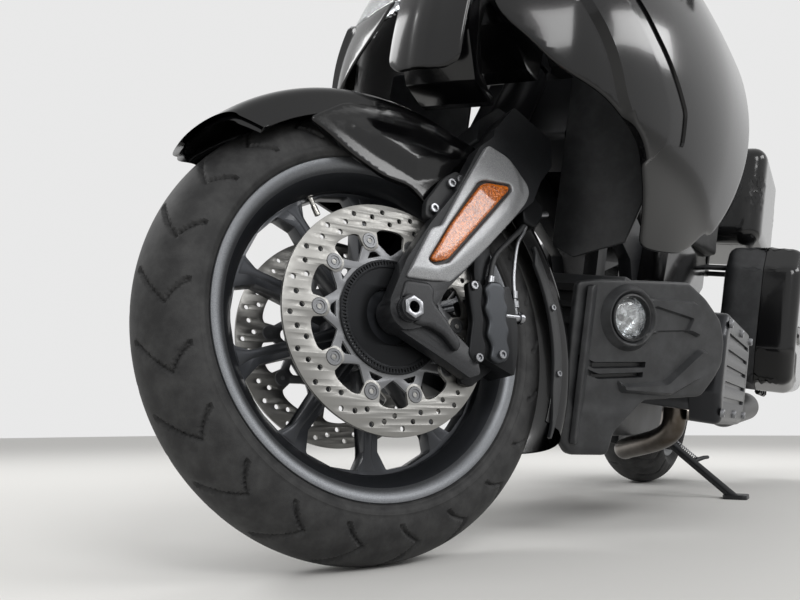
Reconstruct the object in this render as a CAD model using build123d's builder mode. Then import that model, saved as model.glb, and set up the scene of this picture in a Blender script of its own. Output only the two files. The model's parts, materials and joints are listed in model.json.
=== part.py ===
# Touring motorcycle, parked on its side stand with the steering turned right.
# It is modelled upright and straight, front axle above the origin, front towards -X,
# left towards -Y, and placed as it stands when each piece is written. Millimetres.
from build123d import *
from math import asin, cos, degrees, pi, radians, sin
import os

os.makedirs("parts", exist_ok=True)

# Chassis
WHEELBASE = 1695.0
FRONT_R, FRONT_CROWN, FRONT_RIM_R = 319.6, 62.0, 242.0
REAR_R, REAR_CROWN, REAR_WIDTH, REAR_RIM_R = 313.2, 105.0, 200.0, 214.0
CARCASS = 10.0
RAKE, TRAIL = 30.5, 109.0
STEERED, LEAN = -30.6, 9.63
GAP = 0.3          # between two pieces that nearly touch

# Wheels and brakes
FRONT_HALF = 56.0
REAR_HALF = 86.0
SPOKES = 10
HUB_R, AXLE_R, AXLE_BORE = 34.0, 12.0, 9.0
DISC_Y, DISC_T, DISC_R, DISC_IN = 78.5, 5.0, 160.0, 123.0
BOBBINS, BOBBIN_RING = 10, 110.0
CARRIER_IN, ZIGZAG_R = 36.0, 80.0
FLANGE_R = 65.0
REAR_DISC_R, REAR_DISC_Y = 158.0, 72.0
REAR_AXLE_R, REAR_AXLE_BORE = 25.0, 14.0

# Fork
LEG_IN, LEG_OUT, COVER_T = 92.0, 118.0, 7.0
NUT_OUT, NUT_R = 132.0, 17.0
STEM_R, HEAD_R = 22.0, 36.0
STEM_LOW, STEM_HIGH = 650.0, 860.0
HEAD_LOW, HEAD_HIGH = 720.0, 850.0
FENDER_IN, FENDER_T, FENDER_SIDE = 346.0, 5.0, 71.0
FENDER_REAR, FENDER_FRONT = -30.0, 140.0

# Handlebar
BAR_PIVOT = (600.0, 0.0, 925.0)
BAR_R, BAR_POST_R, BAR_SLEEVE_R = 12.7, 14.0, 25.0
DASH_LOW = 890.0
COWL_WALL = 192.0   # the inner side of the lower cowls

# Cases and trunk
WALL = 5.0
CASE_IN, CASE_SPLIT, CASE_OUT = 215.0, 325.0, 430.0
TRUNK_LOW, TRUNK_TUB, TRUNK_LID = 830.0, 210.0, 125.0
TRUNK_SPLIT, TRUNK_TOP = TRUNK_LOW + TRUNK_TUB, TRUNK_LOW + TRUNK_TUB + TRUNK_LID
TRUNK_X0, TRUNK_X1, TRUNK_HALF = 1725.0, 2200.0, 290.0
RACK_PCD, RACK_HOLE = 160.0, 3.3

# Stands
STAND_PIVOT = (1240.0, -145.0, 182.0)
STAND_FOOT = (1205.0, -350.0, 57.0)
CENTRE_PIVOT = (1292.0, 0.0, 176.0)

SIDES = (-1, 1)    # left, right

# The side stand leans forward, so that the weight keeps it on its stop
stand_leg = (Vector(*STAND_FOOT) - Vector(*STAND_PIVOT)).normalized()
STAND_BACK = Vector(0.99, -0.12, -0.08)
stand_back = (STAND_BACK - stand_leg * STAND_BACK.dot(stand_leg)).normalized()
stand_axis = stand_leg.cross(stand_back)

front_axle = Vector(0, 0, FRONT_R)
rear_axle = Vector(WHEELBASE, 0, REAR_R)
steer_dir = Vector(sin(radians(RAKE)), 0, cos(radians(RAKE)))
steer_foot = Vector(-TRAIL, 0, 0)


# How it stands: the front is turned about the steering axis, then the whole leans
def turned(origin, direction, angle):
    return Location(tuple(origin), tuple(direction), angle) * Location(tuple(-origin))


def centre_height(radius, crown, tilt):
    return (radius - crown) * cos(tilt) + crown


lean_turn = Location((0, 0, 0), (LEAN, 0, 0))
front_turn = lean_turn * turned(steer_foot, steer_dir, STEERED)
front_centre = (front_turn * Location(tuple(front_axle))).position
front_tip = (front_turn * Location(tuple(front_axle + Vector(0, 1, 0)))).position
front_tilt = asin((front_tip - front_centre).Z)
front_lift = centre_height(FRONT_R, FRONT_CROWN, front_tilt) - front_centre.Z
rear_lift = centre_height(REAR_R, REAR_CROWN, radians(LEAN)) - REAR_R * cos(radians(LEAN))
pitch = degrees(asin((front_lift - rear_lift) / WHEELBASE))
place = Location((0, 0, front_lift)) * Location((0, 0, 0), (0, pitch, 0)) * lean_turn
fork_place = place * turned(steer_foot, steer_dir, STEERED)
bar_place = place * turned(Vector(*BAR_PIVOT), steer_dir, STEERED)
up = Vector(0, sin(radians(LEAN)), cos(radians(LEAN)))


pieces = []


def hand_in(piece, name, where):
    piece.part.label = name
    pieces.append((piece.part.moved(where), name))


# Planes: side(y) looks from the left, with X across and Z up, and extrudes to the left
def side(y):
    return Plane(origin=(0, y, 0), x_dir=(1, 0, 0), z_dir=(0, -1, 0))


def across(x):
    return Plane(origin=(x, 0, 0), x_dir=(0, 1, 0), z_dir=(1, 0, 0))


def slab(points, corner, plane, depth, mode=Mode.ADD):
    with BuildSketch(plane, mode=Mode.PRIVATE) as outline:
        with BuildLine():
            FilletPolyline(*points, radius=corner, close=True)
        make_face()
    extrude(outline.sketch, amount=depth, mode=mode)


def side_slab(points, corner, s, inner, outer, mode=Mode.ADD):
    slab(points, corner, side(s * inner), -s * (outer - inner), mode)


def rod(start, end, radius, mode=Mode.ADD):
    start, end = Vector(*start), Vector(*end)
    with BuildSketch(Plane(origin=start, z_dir=end - start), mode=Mode.PRIVATE) as section:
        Circle(radius)
    extrude(section.sketch, amount=(end - start).length, mode=mode)


def tube(points, bend, radius, mode=Mode.ADD):
    with BuildLine(mode=Mode.PRIVATE) as route:
        FilletPolyline(*points, radius=bend)
    start = Plane(origin=route.line @ 0, z_dir=route.line % 0)
    with BuildSketch(start, mode=Mode.PRIVATE) as section:
        Circle(radius)
    sweep(section.sketch, path=route.line, mode=mode)


def at_axle(angle, radius, centre=front_axle):
    return (centre.X + radius * cos(radians(angle)), centre.Z + radius * sin(radians(angle)))


def spin(points, centre, arc=360.0, start=0.0, mode=Mode.ADD):
    """Revolves an outline of (y, radius) points about an axle."""
    turn = Plane(origin=centre, x_dir=(0, 1, 0), z_dir=(sin(radians(start)), 0, -cos(radians(start))))
    with BuildSketch(turn, mode=Mode.PRIVATE) as outline:
        with BuildLine():
            Polyline(*[(y, r) for y, r in points], close=True)
        make_face()
    revolve(outline.sketch, axis=Axis(tuple(centre), (0, 1, 0)), revolution_arc=arc, mode=mode)


# Tyres: a carcass between two beads, with a round crown
def tyre(centre, radius, crown, half, lip_r, bead):
    plane = Plane(origin=centre, x_dir=(0, 1, 0), z_dir=(-1, 0, 0))
    shoulder = radius - crown + (crown ** 2 - half ** 2) ** 0.5
    inner = half - CARCASS
    with BuildSketch(plane, mode=Mode.PRIVATE) as section:
        with BuildLine():
            ThreePointArc((-half, shoulder), (0, radius), (half, shoulder))
            Line((half, shoulder), (bead, lip_r))
            Line((bead, lip_r), (bead - CARCASS, lip_r))
            Line((bead - CARCASS, lip_r), (inner, shoulder))
            ThreePointArc((inner, shoulder), (0, radius - CARCASS), (-inner, shoulder))
            Line((-inner, shoulder), (CARCASS - bead, lip_r))
            Line((CARCASS - bead, lip_r), (-bead, lip_r))
            Line((-bead, lip_r), (-half, shoulder))
        make_face()
    revolve(section.sketch, axis=Axis(tuple(centre), (0, 1, 0)))


with BuildPart() as front_tyre:
    tyre(front_axle, FRONT_R, FRONT_CROWN, FRONT_CROWN, FRONT_RIM_R + GAP, FRONT_HALF - 1)
hand_in(front_tyre, "front_tyre", fork_place)

with BuildPart() as rear_tyre:
    tyre(rear_axle, REAR_R, REAR_CROWN, REAR_WIDTH / 2, REAR_RIM_R + GAP, REAR_HALF - 1)
hand_in(rear_tyre, "rear_tyre", place)


# Cast wheels: a rim, a web with rounded windows that leave the spokes, and a hub
def rim(centre, radius, half, well):
    bead = radius - 12
    spin([(-half, radius), (5 - half, radius), (7 - half, bead + 3), (22 - half, bead - 2),
          (34 - half, well + 8), (half - 34, well + 8), (half - 22, bead - 2), (half - 7, bead + 3),
          (half - 5, radius), (half, radius), (half, radius - 5), (half - 10, bead - 8),
          (half - 34, well), (34 - half, well), (10 - half, bead - 8), (-half, radius - 5)], centre)


def windows(centre, well, middle, depth):
    """Cuts one rounded window between each two spokes."""
    for k in range(SPOKES):
        turn = Plane(origin=centre + Vector(0, middle + depth / 2, 0), z_dir=(0, -1, 0),
                     x_dir=(cos(radians(k * 360 / SPOKES)), 0, sin(radians(k * 360 / SPOKES))))
        edge = well - 3
        half = 2 * pi * edge / SPOKES / 2 - 18
        slab([(58, -6), (58, 6), (edge - 34, half), (edge - 6, half - 6), (edge, 0),
              (edge - 6, 6 - half), (edge - 34, -half)], 5, turn, depth, Mode.SUBTRACT)


with BuildPart() as front_wheel:
    rim(front_axle, FRONT_RIM_R, FRONT_HALF, 204)
    spin([(-22, HUB_R - 2), (-11, 206), (11, 206), (22, HUB_R - 2)], front_axle)
    windows(front_axle, 204, 0, 50)
    hub = DISC_Y - DISC_T / 2
    spin([(-hub, AXLE_R + GAP), (-hub, FLANGE_R), (-hub + 12, FLANGE_R), (-hub + 30, HUB_R),
          (hub - 30, HUB_R), (hub - 12, FLANGE_R), (hub, FLANGE_R), (hub, AXLE_R + GAP)], front_axle)
hand_in(front_wheel, "front_wheel", fork_place)

with BuildPart() as rear_wheel:
    rim(rear_axle, REAR_RIM_R, REAR_HALF, 180)
    spin([(-50, 40), (-50, 182), (-24, 182), (-24, 40)], rear_axle)
    windows(rear_axle, 180, -37, 60)
    face = REAR_DISC_Y - DISC_T / 2
    spin([(-66, REAR_AXLE_R + GAP), (-66, 52), (face - 12, 52), (face - 12, FLANGE_R), (face, FLANGE_R),
          (face, REAR_AXLE_R + GAP)], rear_axle)
hand_in(rear_wheel, "rear_wheel", place)


# Discs: a rotor on bobbins, a zigzag carrier and its bolted ring
def disc(centre, middle, radius, inner, thick):
    low, high = middle - thick / 2, middle + thick / 2
    spin([(low, inner), (low, radius), (high, radius), (high, inner)], centre)
    spin([(low, CARRIER_IN), (low, ZIGZAG_R), (high, ZIGZAG_R), (high, CARRIER_IN)], centre)
    for k in range(BOBBINS):
        angle = 178 + k * 360 / BOBBINS
        arm = [at_axle(angle - 20, ZIGZAG_R - 4, centre), at_axle(angle - 11, ZIGZAG_R - 4, centre),
               at_axle(angle, BOBBIN_RING - 8, centre), at_axle(angle + 11, ZIGZAG_R - 4, centre),
               at_axle(angle + 20, ZIGZAG_R - 4, centre), at_axle(angle, BOBBIN_RING + 4, centre)]
        plane = side(high)
        slab(arm, 1.5, plane, thick)
        x, z = at_axle(angle, BOBBIN_RING, centre)
        with BuildSketch(plane, mode=Mode.PRIVATE) as bobbin:
            with Locations((x, z)):
                Circle(14)
        extrude(bobbin.sketch, amount=thick)
        with BuildSketch(side(high + 1), mode=Mode.PRIVATE) as hole:
            with Locations((x, z)):
                Circle(5)
        extrude(hole.sketch, amount=thick + 2, mode=Mode.SUBTRACT)


with BuildPart() as front_discs:
    for s in SIDES:
        disc(front_axle, s * DISC_Y, DISC_R, DISC_IN, DISC_T)
hand_in(front_discs, "front_discs", fork_place)

with BuildPart() as rear_disc:
    disc(rear_axle, REAR_DISC_Y, REAR_DISC_R, DISC_IN, DISC_T)
hand_in(rear_disc, "rear_disc", place)

# Fork holder: two legs, the bridge over the tyre, the stem and the hollow axle
LEG = [(-26, 330), (-10, 292), (20, 298), (70, 358), (125, 408), (165, 446), (212, 490), (250, 520),
       (272, 560), (190, 623), (150, 590), (100, 510), (50, 452), (5, 392)]
ARM = [(-10, 294), (60, 258), (100, 236), (120, 242), (114, 268), (62, 312), (20, 345), (-10, 340)]
BRIDGE = [(170, 580), (250, 535), (300, 590), (306, 640), (230, 680), (185, 630)]
CROWN = [(196, 640), (300, 600), (318, 640), (300, 700), (250, 715), (205, 680)]

with BuildPart() as fork_holder:
    for s in SIDES:
        side_slab(LEG, 8, s, LEG_IN, LEG_OUT)
        side_slab(ARM, 6, s, LEG_IN, LEG_OUT - 6)
        rod((0, s * (LEG_IN - 10), FRONT_R), (0, s * LEG_OUT, FRONT_R), 26)
    slab([(190, 623), (262, 570), (300, 590), (306, 640), (230, 680)], 6, side(LEG_OUT), 2 * LEG_OUT)
    slab(CROWN, 8, side(60), 120)
    for s in SIDES:
        side_slab(BRIDGE, 6, s, LEG_IN, LEG_OUT)
    foot = steer_foot + steer_dir * (STEM_LOW / steer_dir.Z)
    head = steer_foot + steer_dir * (STEM_HIGH / steer_dir.Z)
    rod(foot, head, STEM_R)
    rod((0, -NUT_OUT, FRONT_R), (0, NUT_OUT, FRONT_R), AXLE_R)
    for s in SIDES:
        rod((0, s * LEG_OUT, FRONT_R), (0, s * NUT_OUT, FRONT_R), NUT_R)
    rod((0, -NUT_OUT - 1, FRONT_R), (0, NUT_OUT + 1, FRONT_R), AXLE_BORE, Mode.SUBTRACT)
hand_in(fork_holder, "fork_holder", fork_place)

COVER = [(160, 593), (185, 582), (243, 545), (238, 520), (210, 497), (160, 450), (120, 412), (60, 365),
         (40, 350), (8, 348), (0, 362), (20, 400), (40, 440), (60, 450), (100, 505)]
with BuildPart() as fork_covers:
    for s in SIDES:
        side_slab(COVER, 5, s, LEG_OUT, LEG_OUT + COVER_T)
hand_in(fork_covers, "fork_covers", fork_place)

with BuildPart() as fork_reflectors:
    for s in SIDES:
        side_slab([(60, 408), (128, 512), (142, 526), (190, 530), (186, 522), (74, 412)], 3, s,
                  LEG_OUT + COVER_T, LEG_OUT + COVER_T + 4)
hand_in(fork_reflectors, "fork_reflectors", fork_place)


# Calipers: a body over the disc's edge, slotted for the disc, on two lugs at the leg
def caliper(centre, s, inner, outer, middle, low, high, first, last):
    steps = 4
    ring = [at_axle(first + (last - first) * k / steps, high, centre) for k in range(steps + 1)]
    ring += [at_axle(last + (first - last) * k / steps, low, centre) for k in range(steps + 1)]
    side_slab(ring, 4, s, inner, outer)
    slot = [(s * (middle - 4.5), 90), (s * (middle - 4.5), DISC_R + 5),
            (s * (middle + 4.5), DISC_R + 5), (s * (middle + 4.5), 90)]
    spin(slot, centre, mode=Mode.SUBTRACT)


with BuildPart() as front_calipers:
    for s in SIDES:
        caliper(front_axle, s, 58, 110, DISC_Y, 128, 198, -23, 17)
        side_slab([(100, 232), (118, 228), (170, 262), (160, 290), (132, 282), (98, 256)], 5, s,
                  LEG_IN - 9, LEG_IN - GAP)
        side_slab([(140, 360), (186, 360), (176, 400), (172, 462), (150, 462), (140, 400)], 5, s,
                  LEG_IN - 9, LEG_IN - GAP)
hand_in(front_calipers, "front_calipers", fork_place)

# Front fender: a crowned arc with side panels that are bolted to the legs
PANEL = [(-118, 590), (-98, 583), (-50, 550), (0, 525), (50, 518), (72, 498), (80, 480), (100, 478),
         (112, 498), (120, 540), (190, 562), (222, 582), (190, 606), (110, 632), (30, 640), (-60, 622)]
FACET = [(-70, 592), (-8, 556), (54, 540), (104, 560), (184, 586), (140, 602), (60, 622), (-24, 616)]
with BuildPart() as front_fender:
    low = FENDER_IN - 50
    edge, side_in = FENDER_SIDE + FENDER_T, FENDER_SIDE
    turn = Plane(origin=front_axle, x_dir=(0, 1, 0),
                 z_dir=(sin(radians(FENDER_REAR)), 0, -cos(radians(FENDER_REAR))))
    with BuildSketch(turn) as section:
        with BuildLine():
            Polyline((-edge, low), (-edge, low + 26))
            ThreePointArc((-edge, low + 26), (0, FENDER_IN + FENDER_T), (edge, low + 26))
            Polyline((edge, low + 26), (edge, low), (side_in, low), (side_in, low + 25))
            ThreePointArc((side_in, low + 25), (0, FENDER_IN), (-side_in, low + 25))
            Polyline((-side_in, low + 25), (-side_in, low), (-edge, low))
        make_face()
    revolve(axis=Axis(tuple(front_axle), (0, -1, 0)), revolution_arc=FENDER_FRONT - FENDER_REAR)
    for s in SIDES:
        side_slab(PANEL, 5, s, FENDER_SIDE, FENDER_SIDE + FENDER_T)
        side_slab(FACET, 4, s, FENDER_SIDE + 1, FENDER_SIDE + FENDER_T + 5)
        rod((92, s * FENDER_SIDE, 493), (92, s * (LEG_IN - GAP), 493), 8)
        rod((196, s * FENDER_SIDE, 580), (196, s * (LEG_IN - GAP), 580), 8)
hand_in(front_fender, "front_fender", fork_place)

# Frame: steering head, twin spars, swingarm plates, seat rails and the brackets on them
RAIL_IN, RAIL_OUT = 70.0, 100.0
RAIL_TOP = [(1000, 700), (1450, 735), (2020, 800)]
with BuildPart() as frame:
    low = steer_foot + steer_dir * (HEAD_LOW / steer_dir.Z)
    high = steer_foot + steer_dir * (HEAD_HIGH / steer_dir.Z)
    rod(low, high, HEAD_R)
    slab([(350, 715), (395, 790), (440, 870), (520, 800), (520, 700)], 10, side(100), 200)
    for s in SIDES:
        side_slab([(420, 850), (520, 800), (980, 690), (1085, 560), (1120, 440), (1120, 280), (1100, 200),
                   (1040, 200), (1030, 300), (1000, 470), (900, 600), (520, 700), (420, 720)], 12, s,
                  RAIL_IN, RAIL_OUT)
        side_slab([(940, 690)] + RAIL_TOP + [(2040, 760), (1450, 690), (1060, 560)], 8, s,
                  RAIL_IN, RAIL_OUT)
        side_slab([(1040, 150), (1315, 150), (1315, 195), (1110, 260), (1040, 260)], 8, s, 60, 85)
        side_slab([(640, 750), (700, 740), (700, 500 + GAP), (640, 500 + GAP)], 3, s, 72, RAIL_OUT)
        side_slab([(1640, 740), (1700, 740), (1700, 630), (1640, 630)], 3, s, RAIL_IN, RAIL_OUT)
        for x, z in ((1780, 760), (2005, 780)):
            side_slab([(x - 20, z), (x + 15, z), (x + 15, TRUNK_LOW - GAP), (x - 20, TRUNK_LOW - GAP)], 3,
                      s, RAIL_IN, RAIL_OUT)
        for x, z in ((1700, 735), (2000, 765)):
            rod((x, s * (RAIL_OUT - 5), z), (x, s * (CASE_IN - GAP), z), 9)
        side_slab([(1080, 410), (1110, 470), (1345, 448), (1345, 418), (1150, 410)], 5, s, RAIL_OUT, 125)
    spin([(-120, 0), (-120, 345 + GAP), (120, 345 + GAP), (120, 0)], rear_axle, mode=Mode.SUBTRACT)
    slab([(1040, 300), (1110, 300), (1110, 400), (1040, 400)], 10, side(RAIL_IN), 2 * RAIL_IN)
    slab([(1200, 165), (1245, 165), (1245, 190), (1200, 190)], 6, side(60), 120)
    slab([(1040, 210), (1100, 210), (1100, 250), (1040, 250)], 6, side(80), 160)
    slab([(1960, 770), (2010, 776), (2010, 792), (1960, 786)], 5, side(RAIL_IN), 2 * RAIL_IN)
    post = Vector(*BAR_PIVOT)
    rod(post - steer_dir * 70, post - steer_dir * 10, BAR_SLEEVE_R)
    slab([(430, 780), (430, 878), (500, DASH_LOW - GAP), (560, DASH_LOW - GAP), (585, 860), (520, 770)],
         5, side(24), 48)
    slab([(312, 878), (315.2, 900), (414, 900), (430, 889), (445, 889), (440, 876)], 1, side(24), 48)
    rod(post - steer_dir * 90, post, BAR_POST_R + GAP, Mode.SUBTRACT)
    rod(low - steer_dir * 20, high + steer_dir * 50, STEM_R + GAP, Mode.SUBTRACT)
    rod((CENTRE_PIVOT[0], -90, CENTRE_PIVOT[2]), (CENTRE_PIVOT[0], 90, CENTRE_PIVOT[2]), 9 + GAP,
        Mode.SUBTRACT)
    side_slab([(1225, 168), (1255, 168), (1255, 196), (1225, 196)], 5, -1, 85, 125)
hand_in(frame, "frame", place)

# Engine: flat six as one block, with ribbed covers on its heads
BLOCK_OUT, HEAD_OUT = 190.0, 315.0
with BuildPart() as engine_block:
    slab([(470, 245), (540, 195), (980, 195), (1000, 235), (1000, 430), (940, 500), (540, 500),
          (470, 440)], 15, side(BLOCK_OUT), 2 * BLOCK_OUT)
    for s in SIDES:
        side_slab([(600, 265), (960, 265), (960, 440), (600, 440)], 15, s, BLOCK_OUT, HEAD_OUT)
hand_in(engine_block, "engine_block", place)

with BuildPart() as cylinder_covers:
    for s in SIDES:
        side_slab([(585, 300), (620, 245), (950, 245), (985, 300), (985, 410), (950, 455), (620, 455),
                   (585, 410)], 18, s, HEAD_OUT, HEAD_OUT + 55)
    fillet(cylinder_covers.edges().group_by(Axis.Y)[0] + cylinder_covers.edges().group_by(Axis.Y)[-1], 14)
    for s in SIDES:
        for z in (290, 320, 350, 380, 410):
            side_slab([(625, z), (945, z), (945, z + 8), (625, z + 8)], 2, s, HEAD_OUT + 49, HEAD_OUT + 56,
                      Mode.SUBTRACT)
hand_in(cylinder_covers, "cylinder_covers", place)

# Radiators: one on each side, on the front of the engine
with BuildPart() as radiators:
    for s in SIDES:
        side_slab([(425, 235), (470 - GAP, 235), (470 - GAP, 465), (425, 465)], 4, s, 60, COWL_WALL - GAP)
        for k in range(7):
            z = 252 + 30 * k
            side_slab([(424, z), (434, z), (434, z + 18), (424, z + 18)], 1, s, 75, COWL_WALL - 14,
                      Mode.SUBTRACT)
hand_in(radiators, "radiators", place)

# Lower cowls: slanted shields beside the front wheel, louvred, with the fog lamps in them
SHIELD = [(-34, 190), (-14, 168), (58, 174), (66, 214), (122, 272), (251, 292), (300, 352), (301, 394),
          (286, 432), (243, 464), (196, 486), (0, 458), (-34, 448)]
BEZEL_BAR = [(70, 442), (116, 444), (212, 452), (243, 431), (229, 396), (205, 400), (131, 389), (71, 358)]
LOW_RIDGE = [(60, 300), (75, 296), (160, 310), (232, 372), (251, 372), (268, 350), (236, 322), (172, 286),
             (70, 280)]
LOUVRES = [[(-18, 328), (12, 320), (117, 334), (117, 328), (12, 313), (-18, 322)],
           [(-12, 314), (25, 306), (114, 319), (114, 313), (25, 299), (-12, 308)]]
RECESS = [(236, 320), (262, 318), (258, 300), (238, 296)]
LAMP = (378.0, 241.0, 404.0)
LAMP_R, BEZEL_R = 34.0, 46.0


def shield_plane(s):
    run = Vector(240, s * 170, 0).normalized()
    return Plane(origin=(320, s * 200, 0), x_dir=run, z_dir=run.cross(Vector(0, 0, 1)))


def shield_slab(points, corner, s, inner, outer, mode=Mode.ADD):
    """A slab between two depths of the slanted shield, whose outer face is at 0."""
    face = shield_plane(s)
    slab(points, corner, face.offset(-s * outer), s * (outer - inner), mode)


with BuildPart() as lower_cowl:
    for s in SIDES:
        shield_slab(SHIELD, 8, s, -16, 0)
        shield_slab(BEZEL_BAR, 8, s, 0, 7)
        shield_slab(LOW_RIDGE, 5, s, 0, 8)
        face = shield_plane(s)
        with BuildSketch(face.offset(-s * 12), mode=Mode.PRIVATE) as bezel:
            with Locations((71, LAMP[2])):
                Circle(BEZEL_R)
        extrude(bezel.sketch, amount=s * 14)
        for louvre in LOUVRES:
            shield_slab(louvre, 1, s, -20, 1, Mode.SUBTRACT)
        shield_slab(RECESS, 3, s, -6, 9, Mode.SUBTRACT)
        side_slab([(300, 185), (425, 200), (470, 240), (470, 470), (300, 445)], 10, s,
                  COWL_WALL, COWL_WALL + 10)
        across_lamp = shield_plane(s).z_dir * s
        middle = Vector(LAMP[0], s * LAMP[1], LAMP[2])
        rod(middle - across_lamp * 60, middle + across_lamp * 60, LAMP_R + GAP, Mode.SUBTRACT)
hand_in(lower_cowl, "lower_cowl", place)

with BuildPart() as fog_lamps:
    for s in SIDES:
        across_lamp = shield_plane(s).z_dir * s
        middle = Vector(LAMP[0], s * LAMP[1], LAMP[2])
        rod(middle + across_lamp * 30, middle - across_lamp * 8, LAMP_R)
hand_in(fog_lamps, "fog_lamps", place)


# Fairing: a side shell on each side, from three plan sections, cut to its side outline
NOSE_HALF = 60.0
COWL_PLAN = [  # z, then the outer line as (x, y) from the nose back
    (480, [(100, 62), (118, 112), (150, 160), (230, 207), (350, 250), (480, 290), (800, 330)]),
    (840, [(26, 62), (52, 125), (98, 200), (180, 262), (320, 318), (480, 350), (800, 372)]),
    (1060, [(150, 62), (185, 110), (230, 160), (300, 205), (400, 240), (520, 262), (800, 290)]),
]
COWL_SIDE = [(20, 860), (26, 780), (66, 712), (128, 690), (205, 650), (262, 585), (322, 515), (375, 517),
             (452, 534), (486, 585), (512, 572), (552, 640), (612, 760), (668, 900), (700, 960),
             (640, 985), (480, 1030), (330, 1030), (190, 1000), (95, 945)]
FIN = [(84, 850), (100, 797), (143, 694), (215, 612), (268, 655), (250, 700), (176, 800), (140, 868)]
SCOOP = [(276, 662), (262, 706), (190, 806), (214, 812), (292, 726), (306, 672)]
HEADLAMP = [(66, 824), (150, 822), (236, 832), (264, 866), (254, 906), (150, 890), (66, 866)]
COWL_T = 16.0


def shell_solid(s, inset):
    with BuildPart(mode=Mode.PRIVATE) as shell:
        for z, line in COWL_PLAN:
            with BuildSketch(Plane.XY.offset(z)):
                with BuildLine():
                    Polyline(*[(x + inset, s * (y - inset)) for x, y in line],
                             (line[-1][0] + inset, s * 20), (line[0][0] + inset + 60, s * 20), close=True)
                make_face()
        loft()
    return shell.part


def cowl(s):
    add(shell_solid(s, 0))
    add(shell_solid(s, COWL_T), mode=Mode.SUBTRACT)
    slab(COWL_SIDE, 6, side(500), 1000, Mode.INTERSECT)
    with BuildSketch(across(0), mode=Mode.PRIVATE) as middle:
        Rectangle(2 * NOSE_HALF, 3000)
    extrude(middle.sketch, amount=1000, mode=Mode.SUBTRACT)


def between_shells(outline, s, outer, inner):
    """The layer between two insets of the shell, inside a side outline."""
    with BuildPart(mode=Mode.PRIVATE) as layer:
        add(shell_solid(s, outer))
        add(shell_solid(s, inner), mode=Mode.SUBTRACT)
        side_slab(outline, 4, s, NOSE_HALF + 5, 500, Mode.INTERSECT)
    return layer.part


for s, name in ((-1, "side_cowl_left"), (1, "side_cowl_right")):
    with BuildPart() as side_cowl:
        cowl(s)
        add(between_shells(FIN, s, -9, 3))
        add(between_shells(SCOOP, s, -2, 7), mode=Mode.SUBTRACT)
        slab([(s * y, z) for y, z in HEADLAMP], 6, across(0), 320, Mode.SUBTRACT)
    hand_in(side_cowl, name, place)

with BuildPart() as headlamps:
    for s in SIDES:
        with BuildPart(mode=Mode.PRIVATE) as lens:
            cowl(s)
            slab([(s * y, z) for y, z in HEADLAMP], 6, across(0), 320, Mode.INTERSECT)
        add(lens.part)
hand_in(headlamps, "headlamps", place)


# Inner cowls: panels behind the fork that close the fairing, on the frame's gussets
INNER_X, INNER_T = 360.0, 8.0
INNER = [(RAIL_OUT + GAP, 868), (290, 868), (292, 800), (262, 640), (228, 530), (140, 500),
         (RAIL_OUT + GAP, 520)]
with BuildPart() as inner_cowls:
    for s in SIDES:
        slab([(s * y, z) for y, z in INNER], 6, across(INNER_X), INNER_T)
hand_in(inner_cowls, "inner_cowls", place)


# Windscreen: a curved sheet on a slope, trimmed to its outline
def screen_sheet(extra):
    slope = Plane(origin=(270, 0, 1000), x_dir=(0, 1, 0), z_dir=(0.62, 0, 0.78))
    with BuildPart(mode=Mode.PRIVATE) as sheet:
        with BuildSketch(slope):
            with BuildLine():
                ThreePointArc((-230, extra - 75), (0, extra), (230, extra - 75))
                Line((230, extra - 75), (228, -79 - extra))
                ThreePointArc((228, -79 - extra), (0, -4 - extra), (-228, -79 - extra))
                Line((-228, -79 - extra), (-230, extra - 75))
            make_face()
        extrude(amount=470)
        slab([(-190 - extra, 1016 - extra), (190 + extra, 1016 - extra), (226, 1100), (195, 1290),
              (110, 1375), (-110, 1375), (-195, 1290), (-226, 1100)], 30, across(0), 900, Mode.INTERSECT)
    return sheet.part


with BuildPart() as windscreen:
    add(screen_sheet(0))
hand_in(windscreen, "windscreen", place)

# Nose: the middle of the fairing, with a chin over the fender and the foot of the screen
NOSE = [(20, 815), (28, 765), (68, 706), (120, 692), (140, 692), (141, 706), (116, 710), (88, 724),
        (62, 780), (75, 830), (150, 836), (250, 800), (300, 800), (330, 1000), (344, 1040), (286, 1040),
        (180, 985), (90, 935), (35, 880)]
with BuildPart() as front_cowl:
    slab(NOSE, 4, side(NOSE_HALF - GAP), 2 * (NOSE_HALF - GAP))
    add(screen_sheet(GAP), mode=Mode.SUBTRACT)
hand_in(front_cowl, "front_cowl", place)

with BuildPart() as dash:
    slab([(440, DASH_LOW), (345, 985), (352, 1012), (470, 1000), (520, 940), (540, DASH_LOW)], 6,
         side(215), 430)
hand_in(dash, "dash", place)

with BuildPart() as mirrors:
    for s in SIDES:
        slab([(372, 1085), (385, 1150), (440, 1165), (452, 1120), (440, 1078)], 12, side(s * 340), -s * 112)
        rod((420, s * 235, 968), (420, s * 352, 1100), 12)
        add(shell_solid(s, 0), mode=Mode.SUBTRACT)
hand_in(mirrors, "mirrors", place)

# Top shelter over the tank, with the fuel lid on a hinge in its pocket
LID_X, LID_Y, LID_DEEP = 104.0, 90.0, 16.0
LID_PLANE = Plane(origin=(770, 0, 896), x_dir=(0.99, 0, -0.13), z_dir=(0.13, 0, 0.99))
HINGE_X, HINGE_Z = LID_X / 2 + 1, -1.5


def on_lid(x, y, z):
    return LID_PLANE.from_local_coords((x, y, z))


def lid_block(x0, x1, y0, y1, z0, z1, mode=Mode.ADD):
    with BuildSketch(LID_PLANE.offset(z0), mode=Mode.PRIVATE) as foot:
        with Locations(((x0 + x1) / 2, (y0 + y1) / 2)):
            Rectangle(x1 - x0, y1 - y0)
    extrude(foot.sketch, amount=z1 - z0, mode=mode)


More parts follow.
